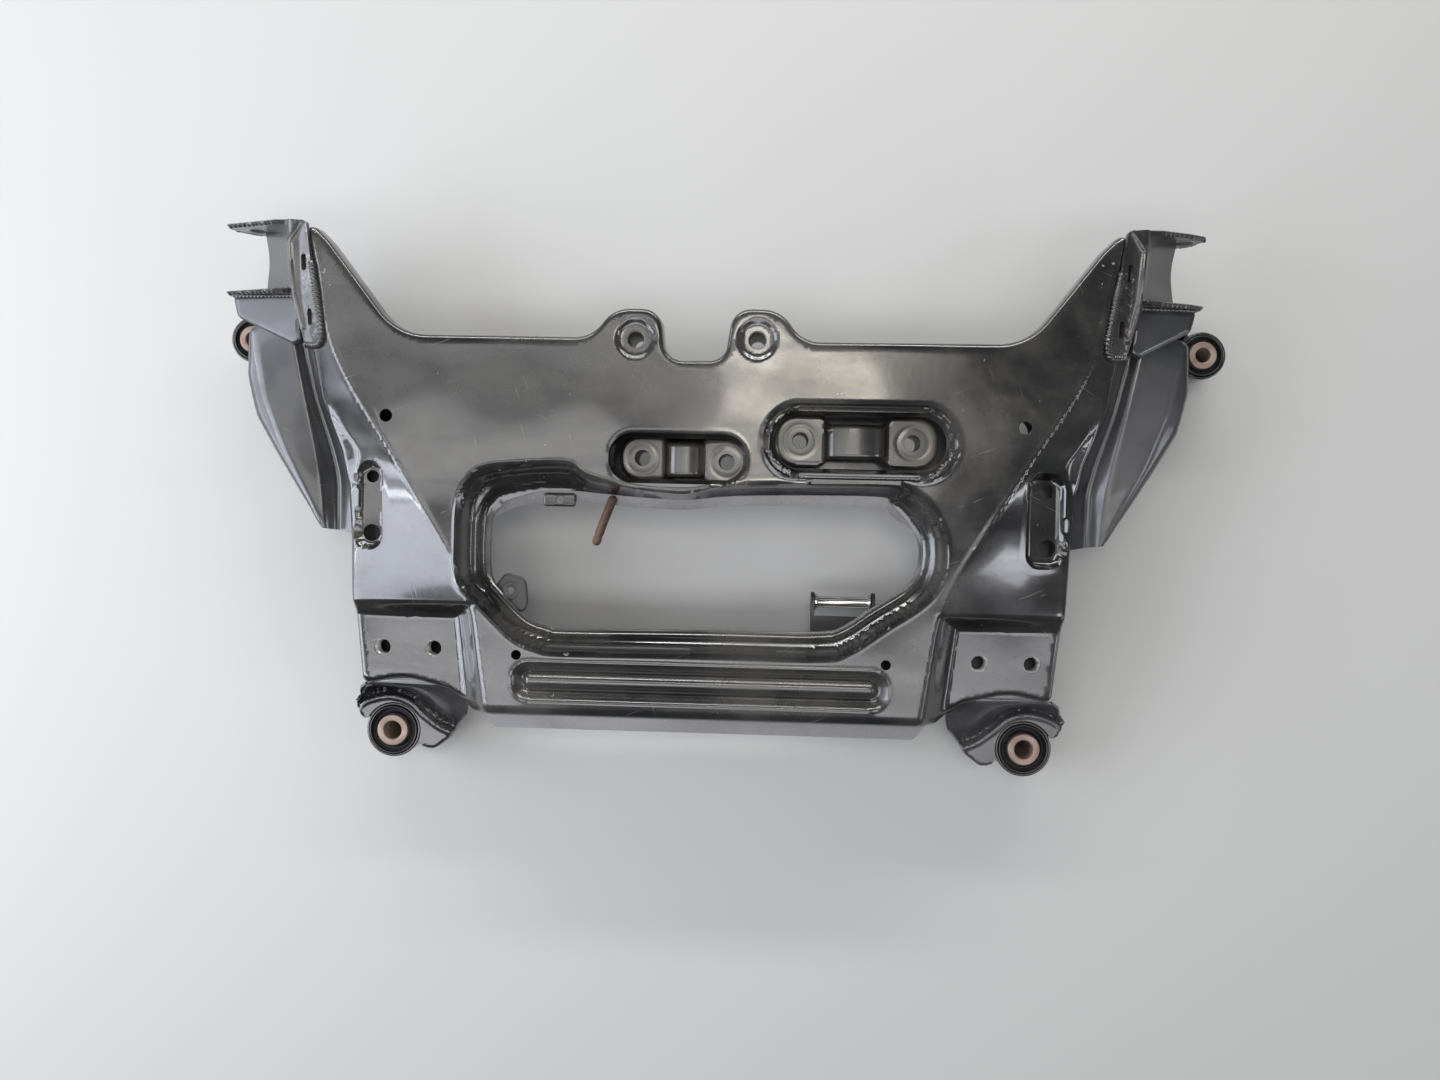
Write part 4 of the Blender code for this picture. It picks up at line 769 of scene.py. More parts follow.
PAD_STEP_Y, PAD_Y, PAD_FRONT_Y, PAD_INNER_X = -86.0, -100.0, -165.0, 221.0
FRONT_Y, REAR_Y, HORN_Y = -183.0, 145.0, 236.0
PAD_BOLTS_X, PAD_BOLT_Y = (240.0, 285.5), -129.3
EARS = ((-63.0, 143.0), (41.0, 144.0))
HORN_TIP = [(328.0, HORN_Y - 13.0, 14.0), (341.0, HORN_Y, 7.0), (358.0, HORN_Y - 2.0, 7.0),
            (357.0, 205.0, 10.0)]
FLANK_EDGE = [(352.0, 150.0, 20.0), (344.0, 90.0, 30.0), (327.0, 45.0, 30.0), (321.0, 15.0, 20.0),
              (316.0, -50.0, 20.0), (311.0, PAD_Y + 2.0, 10.0), (304.0, PAD_FRONT_Y + 1.0, 7.0)]
UPPER_FRONT = [(266.0, PAD_FRONT_Y + 9.0, 60.0), (226.0, PAD_FRONT_Y - 1.0, 12.0),
               (204.0, FRONT_Y - 1.0, 10.0)]


def shell_outline():
    """Whole plan, clockwise from the left ear, with a mirrored left half."""
    (lx, ly), (rx, ry) = EARS
    ears = [(lx - 38.0, REAR_Y, 28.0), (lx - 20.0, ly + 27.0, 36.0), (lx + 22.0, ly + 27.0, 18.0),
            (lx + 26.0, ly - 17.0, 16.0), (rx - 28.0, ry - 17.0, 14.0), (rx - 22.0, ry + 27.0, 18.0),
            (rx + 20.0, ry + 27.0, 36.0), (rx + 38.0, REAR_Y - 1.0, 28.0)]
    half = [(268.0, REAR_Y, 50.0), *HORN_TIP, *FLANK_EDGE, *UPPER_FRONT]
    return rounded(ears + half + [(-x, y, radius) for x, y, radius in reversed(half)])


def flank(column, y, blur=26.0):
    """One column of the flank's stations, read at y along a smoothed line."""
    return table(FLANK[:, 0], FLANK[:, column], y, blur)


def body(plan):
    """Top plane, flanks and pads before the details.

    The flank falls from the fold to its foot by a soft ramp. Towards the front, the share that is
    left of the height above the pads is the larger of the rear step and the inner wall.
    """
    across, y = np.abs(plan[:, 0]), plan[:, 1]
    fold, edge, low = flank(1, y), flank(2, y), flank(3, y)
    foot = edge - table([row[0] for row in FLANK_FOOT], [row[1] for row in FLANK_FOOT], y, 12.0)
    slope = (TOP - low) / (foot - fold)
    side = TOP - slope * (ramp(across - fold, 2.6) - ramp(across - foot, 4.5))
    pad_foot = PAD_INNER_X - 0.105 * (PAD_Y - y)
    rear = step((y - PAD_Y + 1.5) / (PAD_STEP_Y - PAD_Y + 3.0))
    wall = step((pad_foot + 1.5 - across) / (pad_foot + 3.0 - fold))
    share = np.where(y > PAD_STEP_Y + 1.5, 1.0, np.maximum(rear, wall))
    share += 0.25 * rear * wall * (1.0 - share)
    ridge = 0.45 * np.exp(-((across - fold) / 2.4) ** 2) * (y > PAD_STEP_Y)
    return PAD + (side - PAD) * share + ridge


outline = shell_outline()
sample = body(np.array([[0.0, 100.0], [300.0, -20.0], [250.0, -130.0]]))
print("top, flank and pad heights:", [round(float(value), 1) for value in sample])

# %% [markdown]
# ### Opening, windows, pockets, bead and ears
#
# The opening's wall is a loft: a point between the outer and the inner loop has a share, its
# distance to the outer one over the sum of both distances. A table turns that share into how far
# the wall has fallen. The windows use the same idea. The rolled edge is a quarter circle and a
# short wall, and depends only on the distance to the outline.

# %% Stamped details
# Pairs of points: on the brim of the opening's wall, and on its lower edge.
OPENING = (
    ((-214, -67), (-190, -63)), ((-216, -25), (-191, -23)), ((-214, 4), (-188, -8)),
    ((-205, 21), (-181, -1)), ((-190, 31), (-176, 4)), ((-149, 35), (-147, 12)),
    ((-118, 35), (-118, 13)), ((-102, 25), (-102, 12)), ((-64, 16), (-64, 9)),
    ((-24, 12), (-24, 7.5)), ((-7, 14), (-7, 8.5)), ((14, 19), (14, 11)),
    ((54, 22), (54, 13)), ((147, 24), (147, 14)), ((172, 21), (160, 8)),
    ((191, 6), (174, -6)), ((203, -15), (184, -22)), ((206, -39), (186, -38)),
    ((202, -58), (182, -55)), ((188, -77), (171, -68)), ((158, -98), (143, -86)),
    ((127, -119), (121, -101)), ((102, -126), (99, -106)), ((15, -126), (15, -107)),
    ((-118, -127), (-118, -109)), ((-144, -124), (-135, -108)), ((-164, -116), (-153, -103)),
    ((-180, -102), (-167, -94)), ((-198, -84), (-180, -79)),
)
opening_outer = curve([pair[0] for pair in OPENING])
opening_inner = curve([pair[1] for pair in OPENING])
# Each window: its brim, its hole and how deep it is dished.
WINDOWS = ((slot((-84.0, 35.0), (20.5, 63.5), 20.5), slot((-80.0, 31.0), (24.5, 59.5), 16.5), 5.0),
           (slot((47.5, 213.5), (27.0, 91.5), 31.5), slot((57.0, 204.0), (36.5, 82.0), 21.7), 9.0))
bead_slot = slot((-165.0, 160.0), (-169.0, -135.5), 15.0)
pockets = [slot((-311.0, -284.0), (-43.0, 36.0), 13.0), slot((274.0, 310.0), (-46.0, 37.0), 13.0)]
DISH_SHARES = (0.0, 0.16, 0.3, 0.52, 0.7, 0.9, 1.0)
DEEP_DISH = (0.0, 0.42, 0.5, 0.30, 0.36, 0.9, 1.2)
SHALLOW_DISH = (0.0, 0.3, 0.5, 0.55, 0.65, 1.0, 1.2)
BEAD_DEPTH, RIB_RISE = 8.0, 5.0
EAR_DISH, EAR_DISH_DEPTH = 17.5, 2.5
SIDE_DROP, FLANK_RELIEF = 16.0, 5.0
EDGE_WALL, EDGE_RADIUS, FRONT_RADIUS_GAIN = 0.7, 4.2, 4.3
SMALL_HOLES = ((-277.0, 74.0, 5.6), (268.0, 74.0, 5.6), (-160.5, -129.5, 4.4), (156.5, -129.5, 4.4),
               (-298.0, 22.0, 5.6), (-298.0, -28.0, 7.6), (294.0, 22.0, 7.0), (296.0, -28.0, 7.8))


def loft(plan, outer, inner):
    """Share of the way from the outer to the inner loop, the width, and the depth inside the outer."""
    from_outer, to_inner = depth(plan, outer), nearest(plan, inner)[0]
    width = np.clip(from_outer, 0.0, None) + to_inner
    return np.where(from_outer > 0.0, from_outer / np.maximum(width, 1e-6), 0.0), width, from_outer


def lip(inner, high):
    """Low ridge along a stamped form's edge: high exp(-((depth inside + 0.2) / 1.6)^2)."""
    return high * np.exp(-((inner + 0.2) / 1.6) ** 2)


def roll(distance, drop, wall, radius):
    """Fall of a rolled edge: a steep wall, then radius - sqrt(radius^2 - (what is left)^2)."""
    left = np.clip(wall + radius - distance, 0.0, radius)
    arc = radius - np.sqrt(np.clip(radius ** 2 - left ** 2, 0.0, None))
    steep = np.clip(1.0 - distance / wall, 0.0, 1.0) * np.clip(drop - radius, 0.0, None)
    return arc * np.minimum(1.0, drop / radius) + steep


def ripple(plan, size=0.3):
    """Slow waves of a large pressing, as four sines that run different ways."""
    x, y = plan.T
    return size * (np.sin(x / 31.0 + 0.6 * np.sin(y / 40.0)) + np.sin(y / 27.0 + x / 90.0)
                   + 0.6 * np.sin((x + y) / 19.0 + 1.3) + 0.6 * np.sin((x - 1.4 * y) / 23.0)) * 0.6


def upper_height(plan):
    """Height of the upper pressing: body, then opening, windows, bead, pockets, ears and edge."""
    z = body(plan)
    y = plan[:, 1]
    share, width, inner = loft(plan, opening_outer, opening_inner)
    z += lip(inner, 0.9)
    wide = table([0.0, 0.16, 0.36, 0.58, 0.76, 1.0], [0.0, 0.12, 0.62, 0.70, 0.96, 1.0], share, 0.035)
    narrow = table([0.0, 0.15, 0.85, 1.0], [0.0, 0.06, 0.95, 1.0], share, 0.05)
    mix = step((width - 11.0) / 7.0)
    z -= (z - OPENING_FLOOR) * (narrow + (wide - narrow) * mix) * (share > 0.0)
    for brim, window, fall in WINDOWS:
        share, _, inner = loft(plan, brim, window)
        dish = DEEP_DISH if fall > 6.0 else SHALLOW_DISH
        z += lip(inner, 0.1 * fall) - fall * table(DISH_SHARES, dish, share, 0.05)
    inner = depth(plan, bead_slot)
    z += lip(inner, 0.6) - BEAD_DEPTH * step(inner / 9.5) + RIB_RISE * step((inner - 8.0) / 6.5)
    for pocket in pockets:
        inner = depth(plan, pocket)
        z = z + lip(inner, 0.5) + (POCKET_FLOOR - z) * step((inner + 0.5) / 6.0)
    for ear in EARS:
        away = np.hypot(plan[:, 0] - ear[0], y - ear[1])
        z -= EAR_DISH_DEPTH * step((EAR_DISH - away) / 4.0)
    edge = nearest(plan, outline)[0]
    front = step((-y - 164.0) / 6.0)
    on_side = step((np.abs(plan[:, 0]) - flank(1, y) - 2.0) / 6.0) * step((HORN_Y - 16.0 - y) / 10.0)
    drop = SIDE_DROP - FLANK_RELIEF * on_side
    drop = drop + (np.clip(z - FRONT_EDGE, 4.0, None) - drop) * front
    z -= roll(edge, drop, EDGE_WALL, EDGE_RADIUS + FRONT_RADIUS_GAIN * step((-y - 165.0) / 12.0))
    return z + ripple(plan) * step(edge / 12.0) * step((y + 150.0) / 40.0)


holes = [opening_inner, WINDOWS[0][1], WINDOWS[1][1]]
holes += [circle(ear, 8.0) for ear in EARS]
holes += [circle((x, y), radius, 32) for x, y, radius in SMALL_HOLES]
holes += [circle((side * x, PAD_BOLT_Y), 7.4, 32) for side in (-1.0, 1.0) for x in PAD_BOLTS_X]
ladder = np.linspace(-192.0, 238.0, 90)
between = [curve([(1.0 - t) * np.array(a) + t * np.array(b) for a, b in OPENING]) for t in (0.36, 0.17)]
folds = [opening_outer, *between, bead_slot, *[brim for brim, _, _ in WINDOWS], *pockets,
         slot((-156.5, 151.5), (-160.5, -144.0), 8.2)]
for _, side in SIDES:
    for line_x, line_y in ((flank(1, ladder), ladder), ([199.0, 420.0], [PAD_STEP_Y, PAD_STEP_Y]),
                           ([420.0, 221.0, 214.5], [PAD_Y, PAD_Y, -162.0])):
        far = [(600.0, line_y[-1]), (600.0, line_y[0] if line_y[0] != line_y[-1] else -192.0)]
        loop = np.vstack([np.column_stack([line_x, line_y]), far])
        folds.append(loop * (side, 1.0))
SHEET = 2.6


def upper_stain(plan):
    """Where it has weathered: the horns, and a band round the opening's wall."""
    x, y = np.abs(plan[:, 0]), plan[:, 1]
    horn = step((y - 100.0) / 110.0) * step((x - 190.0) / 110.0)
    wall = 0.6 * step(1.0 - np.abs(depth(plan, opening_outer) - 6.0) / 16.0) * step((y + 20.0) / 20.0)
    return np.maximum(horn, wall)


pressing = sheet("upper_pressing", outline, holes, upper_height, SHEET, 2.0, folds=folds,
                 stain=upper_stain, rings=(0.7, 1.5, 2.8, 4.9))
dress(pressing, shell_paint, "upper_shell")

# %% [markdown]
# ## Side arms, gussets and arm brackets
#
# Each arm is one more pressing: a trough beside the shell, a raised panel with an outer ridge, and
# an edge turned down. Across the arm its height is a chain of straight lines with soft corners,
# and the corners wander along the arm. The control arm bracket is a tongue on the horn that leans
# down into a web, with an upright ear at each end.

# %% Side arm panels
ARM_EDGE = [(349.0, -24.0, 7.0), (369.0, 7.0, 20.0), (391.0, 43.0, 20.0), (409.0, 74.0, 25.0),
            (417.0, 110.0, 25.0), (414.0, 154.0, 7.0)]
# Each line that runs along the arm: its y, x and z.
ARM_LINES = (((-18.0, 22.0, 50.0, 92.0, 135.0), (334.0, 334.0, 341.0, 354.0, 362.0),
              (76.0, 75.0, 77.0, 82.0, 87.0)),
             ((-14.0, 22.0, 60.0, 100.0, 148.0), (343.0, 348.0, 354.0, 361.0, 371.0),
              (85.0, 86.0, 89.0, 92.0, 95.0)),
             ((-10.0, 43.0, 90.0, 142.0), (351.0, 378.0, 396.0, 407.0), (87.0, 90.0, 92.0, 92.0)))
FLANK_SIDE = outline[(outline[:, 0] > 300.0) & (outline[:, 1] > -60.0) & (outline[:, 1] < 190.0)]
FLANK_SIDE = FLANK_SIDE[np.argsort(FLANK_SIDE[:, 1])]


def mirrored(points, side):
    """Points with x times the side's sign."""
    return np.column_stack([points[:, 0] * side, points[:, 1:]])


def chain(x, knots, heights, radii):
    """Straight lines through moving knots: each knot adds its change of slope times a soft ramp."""
    slopes = [(heights[k + 1] - heights[k]) / (knots[k + 1] - knots[k]) for k in range(len(knots) - 1)]
    z = heights[0] + slopes[0] * (x - knots[0])
    for k in range(1, len(slopes)):
        z = z + (slopes[k] - slopes[k - 1]) * ramp(x - knots[k], radii[k - 1])
    return z


def side_arm(side, label):
    """Upper panel of one side arm."""
    near_y = np.linspace(-29.0, 151.0, 60)
    near = np.column_stack([np.interp(near_y, FLANK_SIDE[:, 1], FLANK_SIDE[:, 0]) + 0.9, near_y])
    far = rounded([(340.0, -34.0, 0.0), *ARM_EDGE, (372.0, 154.0, 0.0)])[9:-9]
    far = far[far[:, 1] > -33.5]
    loop = mirrored(np.vstack([far, [[366.0, 153.0]], near[::-1]]), side)

    def height(plan):
        x, y = np.abs(plan[:, 0]), plan[:, 1]
        shell = np.interp(y, FLANK_SIDE[:, 1], FLANK_SIDE[:, 0]) + 0.9
        low = flank(3, y) - 11.4 + SHEET
        knots, heights = [shell], [low]
        for ys, xs, zs in ARM_LINES:
            knots.append(table(ys, xs, y, 14.0))
            heights.append(table(ys, zs, y, 14.0))
        heights[0] = np.minimum(heights[0], heights[1] + 14.0)
        z = chain(x, [*knots, knots[-1] + 30.0], [*heights, heights[-1] - 12.0], (2.5, 2.2, 3.0))
        outer = nearest(plan, mirrored(far, side), closed=False)[0]
        return z - roll(outer, 18.0, 0.8, 5.0)

    dress(sheet(f"arm_panel_{label}", loop, [], height, SHEET), arm_paint, f"side_arm_{label}")


for label, side in SIDES:
    side_arm(side, label)

# %% Control arm brackets and gussets
WEB_TOP, WEB_FOOT, WEB_FOOT_Z = 363.0, 402.0, 72.0
EAR_Y = (178.5, 241.5)
BOLT = (406.0, 86.0)
REACH = {"left": 430.0, "right": 421.0}
TONGUE_SLOTS = ((350.5, 204.0), (346.5, 158.0))


def arm_bracket(side, label):
    """Tongue and web of one bracket, its two ears and the gusset in front of them."""
    front, rear = EAR_Y
    plan = rounded([(347.0, rear - 3.0, 4.0), (365.0, rear - 1.0, 0.0), (WEB_FOOT, rear - 1.0, 0.0),
                    (WEB_FOOT - 7.0, 212.0, 40.0), (WEB_FOOT + 3.0, front + 1.0, 0.0),
                    (365.0, front + 1.0, 0.0), (359.0, 160.0, 10.0), (354.0, 137.0, 5.0),
                    (338.0, 135.0, 6.0), (335.0, 150.0, 8.0), (343.0, 200.0, 20.0)])

    def height(points):
        x, y = np.abs(points[:, 0]), points[:, 1]
        horn = body(np.column_stack([np.minimum(x, 354.0), y])) + 4.0
        lean = (WEB_FOOT_Z + 3.0 - 115.0) / (WEB_FOOT - WEB_TOP)
        bank = 1.8 * np.exp(-(nearest(points, tongue_line, closed=False)[0] / 2.0) ** 2)
        rough = np.sin(1.25 * x + 2.0 * np.sin(0.5 * y)) * np.sin(1.1 * y + 1.7 * np.sin(0.8 * x))
        rough = 0.45 * rough * step((WEB_TOP - 7.0 - x) / 4.0) * step((212.0 - y) / 12.0)
        return horn + lean * ramp(x - WEB_TOP, 3.0) + bank + rough

    tongue_line = mirrored(np.array([(351.0, 238.0), (363.0, 222.0), (361.0, 180.0), (354.0, 150.0)]), side)
    slots = [mirrored(slot((x - 2.5, x + 2.5), (y - 7.0, y + 7.0), 2.4), side) for x, y in TONGUE_SLOTS]
    web = sheet(f"arm_web_{label}", mirrored(plan, side), slots, height, 3.0, 1.4, 4.0,
                stain=lambda points: 0.5 * step((WEB_TOP - np.abs(points[:, 0])) / 6.0))
    dress(web, bracket_paint, f"arm_bracket_{label}")
    reach = REACH[label]
    for name, start, low in (("rear", 352.0, rear - 4.0), ("front", 359.0, front)):
        x, z = BOLT
        shape = rounded([(start, z + 18.0, 3.0), (start + 5.0, z + 30.5, 5.0), (x - 28.0, z + 29.5, 10.0),
                         (x - 2.0, z + 20.0, 20.0), (reach, z + 11.0, 3.0), (reach - 1.0, z - 2.0, 10.0),
                         (x + 8.0, z - 18.0, 12.0), (x - 14.0, z - 23.0, 12.0), (x - 34.0, z - 12.0, 20.0)])

        def ear_height(plan):
            away = np.hypot(*(plan - BOLT).T)
            rubbed = 0.5 * step((12.5 - away) / 1.2) * step(away - 9.0)
            return 4.0 - rubbed - roll(nearest(plan, shape)[0], 1.0, 0.3, 1.0)

        def upright(points):
            return np.column_stack([side * points[:, 0], low + points[:, 2], points[:, 1]])

        ear = sheet(f"arm_ear_{name}_{label}", shape, [circle(BOLT, 7.2)], ear_height, 3.6, 1.6, 4.0,
                    place=upright)
        dress(ear, bracket_paint)
    flat = rounded([(362.0, front - 0.4, 2.0), (reach - 6.0, front - 0.4, 3.0), (reach - 10.0, 160.0, 8.0),
                    (366.0, 136.0, 5.0), (359.0, 140.0, 4.0)])
    flat = mirrored(flat, side)

    def gusset_height(plan):
        slope = 101.1 - 0.13 * (np.abs(plan[:, 0]) - 365.0) + 0.06 * (plan[:, 1] - 134.0)
        return slope - roll(nearest(plan, flat)[0], 2.0, 0.4, 1.6)

    gusset = sheet(f"arm_gusset_plate_{label}", flat, [], gusset_height, SHEET, 2.0, 4.0)
    dress(gusset, arm_paint, f"arm_gusset_{label}")


for label, side in SIDES:
    arm_bracket(side, label)

# %% [markdown]
# ## Corner brackets and rubber mounts
#
# Each corner bracket hugs a mount. Its sheet drops steeply from under the bolting pad, and a raised
# bead runs round the mount and out to a rounded tip. The mount is a welded steel housing, a pressed
# sleeve, a rubber ring with a groove, and an inner sleeve that has rusted to a pinkish brown.

# %% Corner brackets
# Centre, radius, radius of the inner sleeve, its bore, and height.
MOUNTS = {"left_corner": ((-287.0, -210.5), 25.0, 14.2, 8.3, 62.0),
          "right_corner": ((289.0, -210.5), 25.0, 14.2, 8.3, 62.0),
          "left_side": ((-424.0, 146.5), 21.0, 12.1, 6.4, 58.0),
          "right_side": ((437.0, 146.5), 21.0, 12.1, 6.4, 58.0)}


def corner_bracket(side, label):
    """Bracket sheet: a level foot, a steep rise under the pad, a turned edge and a raised bead."""
    (mx, my), radius = MOUNTS[f"{label}_corner"][:2]
    mx = abs(mx)
    hug = radius + 0.8
    angle = np.radians(np.linspace(24.0, 201.0, 40))
    arc = np.column_stack([mx + hug * np.cos(angle), my + hug * np.sin(angle)])
    lobe = rounded([(arc[-1, 0], arc[-1, 1], 0.0), (mx - 30.0, my - 16.5, 4.0), (mx - 39.0, my - 17.0, 8.0),
                    (mx - 52.0, my - 7.0, 10.0), (mx - 58.0, my + 3.0, 6.0), (mx - 69.0, my + 16.0, 12.0),
                    (mx - 74.0, my + 31.0, 10.0), (mx - 58.0, PAD_FRONT_Y + 3.0, 4.0),
                    (mx + 14.0, PAD_FRONT_Y + 3.0, 6.0), (mx + 27.0, my + 39.0, 8.0),
                    (mx + 35.0, my + 21.0, 8.0), (arc[0, 0] + 6.0, arc[0, 1], 4.0),
                    (arc[0, 0], arc[0, 1], 0.0)])[9:-9]
    loop = mirrored(np.vstack([arc, lobe]), side)
    rim = curve([(mx + 33.0, my + 12.0), (mx + 29.0, my + 24.0), (mx + 12.0, my + 31.0),
                 (mx - 3.0, my + 31.5), (mx - 17.0, my + 26.0), (mx - 28.0, my + 16.0),
                 (mx - 42.0, my + 5.5), (mx - 55.0, my + 0.0)], 8, False)
    rim_line, free = mirrored(rim, side), mirrored(lobe, side)

    def height(plan):
        x, y = np.abs(plan[:, 0]), plan[:, 1]
        foot = np.interp(x, rim[::-1, 0], rim[::-1, 1])
        up = np.clip((y - foot - 3.5) / (-168.4 - foot), 0.0, 1.0)
        out = nearest(plan, rim_line, closed=False)[0] * np.where(y > foot, 1.0, -1.0)
        z = 60.5 + 0.9 * np.exp(-((out + 1.5) / 1.6) ** 2) - 6.5 * step(out / 4.0)
        z = z + 29.6 * (0.3 * step(up) + 0.7 * up)
        from_mount = np.hypot(plan[:, 0] - side * mx, y - my)
        edge = nearest(plan, free, closed=False)[0]
        away = step((from_mount - hug - 2.0) / 6.0)
        return z - roll(edge, 11.0, 0.5, 2.0) * (1.0 - step(up * 3.0)) * away

    around_rim = mirrored(np.vstack([rim[::-1], [(mx + 33.0, 0.0), (mx - 55.0, 0.0)]]), side)
    piece = sheet(f"corner_lobe_{label}", loop, [], height, SHEET, 1.5, 5.0, folds=[around_rim])
    dress(piece, lobe_paint, f"corner_bracket_{label}")


for label, side in SIDES:
    corner_bracket(side, label)


# %% Rubber mounts
def mount(label, centre, radius, sleeve, bore, high):
    """Four turned pieces of one mount, each from a rounded profile of radius and height."""
    top, wall = high - 3.0, 2.6
    outer = radius - wall - 0.4
    edge, near = outer - 1.5, sleeve + 0.2
    span = edge - near
    turned = {
        "housing": ([(radius - wall, 3.0, 0.6), (radius, 3.0, 0.8), (radius, top, 1.1),
                     (radius - wall, top, 1.1)],
                    5, 96, bracket_paint, "mount_housing", "black_paint"),
        "pressed_sleeve": ([(outer - 1.3, 2.0, 0.4), (outer, 2.0, 0.5), (outer, top + 1.2, 0.6),
                            (outer - 1.3, top + 1.2, 0.6)],
                           5, 96, inner_paint, "mount_outer_sleeve", "bare_steel"),
        "rubber_ring": ([(near, 3.5, 0.5), (near + 0.45 * span, 8.5, 2.0), (edge, 4.5, 0.8),
                         (edge, top - 0.6, 0.8), (near + 0.62 * span, top - 4.6, 1.6),
                         (near + 0.3 * span, top - 3.2, 1.6), (near, top + 0.8, 0.6)],
                        6, 96, black_rubber, "mount_rubber", "rubber"),
        "inner_sleeve": ([(bore, 0.0, 0.9), (sleeve, 0.0, 0.8), (sleeve, high, 1.0), (bore, high, 1.2)],
                         6, 72, sleeve_steel, "mount_inner_sleeve", "rusty_steel")}
    for name, (corners, arc, facets, finish, node, slot_name) in turned.items():
        piece = lathe(f"{name}_{label}", rounded(corners, arc), centre, facets)
        dress(piece, finish, f"{node}_{label}", slot_name=slot_name)


for label, values in MOUNTS.items():
    mount(label, *values)
print("mounts:", len(MOUNTS))

# %% [markdown]
# ## Rack seats, collars, nuts and the strut spool
#
# Through the two windows one sees the seats of the steering rack: flat discs joined by an arched
# strap that shines like a cushion. The nuts under the pads have real threads. A thread is a radius
# that follows the cosine of height over pitch minus the turn, so it closes after one turn.

# %% Rack seats and collars
COLLAR_FOOT = 60.5
RACKS = {"left": ((-57.0, 43.0), (16.5, 41.0)), "right": ((80.0, 61.0), (177.0, 60.5))}


def collar(name, bore, radius, top, centre, node):
    """Turned ring between the two shells, which a bolt clamps."""
    ring = rounded([(bore, COLLAR_FOOT, 0.8), (radius, COLLAR_FOOT, 0.8), (radius, top, 0.6),
                    (bore, top, 0.8)], 5)
    dress(lathe(name, ring, centre, 64), dull_steel, node, slot_name="bare_steel")


def rack_saddle(label, bolts):
    """Discs at one level, and between them a strap whose arch is 1 - (distance / half length)^2."""
    (x0, y0), (x1, y1) = bolts
    middle, y = 0.5 * (x0 + x1), 0.5 * (y0 + y1)
    disc, waist = (20.0 if label == "left" else 22.3), 15.0
    near, far = x0 + disc, x1 - disc
    loop = rounded([(x0 - disc, y0 - disc, 19.0), (near - 3.0, y0 - disc, 6.0), (near + 3.0, y - waist, 4.0),
                    (far - 3.0, y - waist, 4.0), (far + 3.0, y1 - disc, 6.0), (x1 + disc, y1 - disc, 19.0),
                    (x1 + disc, y1 + disc, 19.0), (far + 3.0, y1 + disc, 6.0), (far - 3.0, y + waist, 4.0),
                    (near + 3.0, y + waist, 4.0), (near - 3.0, y0 + disc, 6.0), (x0 - disc, y0 + disc, 19.0)])
    half = 0.5 * (x1 - x0) - disc - 1.0

    def height(plan):
        away = np.abs(plan[:, 0] - middle)
        arch = 93.0 + 8.5 * np.sqrt(np.clip(1.0 - (away / half) ** 2, 0.0, None))
        z = 98.0 + (arch - 98.0) * step((half + 3.0 - away) / 3.0)
        for bolt in bolts:
            ring = np.hypot(plan[:, 0] - bolt[0], plan[:, 1] - bolt[1])
            z = z - 0.25 * np.exp(-((ring - 13.5) / 1.6) ** 2)
        return z - roll(nearest(plan, loop)[0], 3.0, 0.5, 2.2)

    holes = [circle(bolt, 7.1) for bolt in bolts]
    if label == "right":
        holes.append(circle((middle - 23.0, y + 9.0), 2.6, 20))
    piece = sheet(f"rack_seat_{label}", loop, holes, height, SHEET, 1.5, 4.0)
    dress(piece, seat_paint, f"rack_saddle_{label}")
    for place, bolt in zip(("outer", "inner"), bolts):
        collar(f"rack_spacer_{label}_{place}", 6.7, 12.5, 95.0, bolt, f"rack_collar_{label}_{place}")


for label, bolts in RACKS.items():
    rack_saddle(label, bolts)
for (label, _), ear in zip(SIDES, EARS):
    collar(f"ear_spacer_{label}", 6.8, 12.0, 114.5, ear, f"ear_collar_{label}")


# %% Threaded nuts under the bolting pads
def threaded_nut(name, centre, bottom=80.0, top=93.0, across=22.0, pitch=2.0):
    """Six-sided nut on a grid of angle and profile.

    The bore's radius is 6.2 + 0.35 (1 + cosine of 2 pi (height / pitch - turn)), which is one
    helix. The outside is half the width over the cosine of the angle from the nearest flat.
    """
    facets, rows = 60, 66
    angle = np.linspace(0.0, 2.0 * np.pi, facets, endpoint=False)[:, None]
    level = np.linspace(bottom, top, rows)[None]
    entry = step((np.minimum(level - bottom, top - level)) / 1.2)
    bore = 6.2 + 0.35 * (1.0 + np.cos(2.0 * np.pi * (level / pitch) - angle)) * entry + 0.9 * (1.0 - entry)
    flat = (angle + np.pi / 6.0) % (np.pi / 3.0) - np.pi / 6.0
    wide = 0.5 * across / np.cos(flat)
    shoulder = np.minimum(wide, 0.5 * across + 0.9)
    radius = np.hstack([bore, shoulder, wide, wide, shoulder])
    ones = np.ones_like(angle)
    height = np.hstack([level * ones, top * ones, (top - 0.8) * ones, (bottom + 0.8) * ones, bottom * ones])
    points = np.stack([centre[0] + radius * np.cos(angle), centre[1] + radius * np.sin(angle), height], -1)
    return put(name, points.reshape(-1, 3), lattice(facets, points.shape[1], True), crease=32.0)


for label, side in SIDES:
    for place, x in zip(("inner", "outer"), PAD_BOLTS_X):
        nut = threaded_nut(f"threaded_nut_{label}_{place}", (side * x, PAD_BOLT_Y))
        dress(nut, thread_steel, f"pad_nut_{label}_{place}", slot_name="bare_steel")
print("threaded nuts: 4")

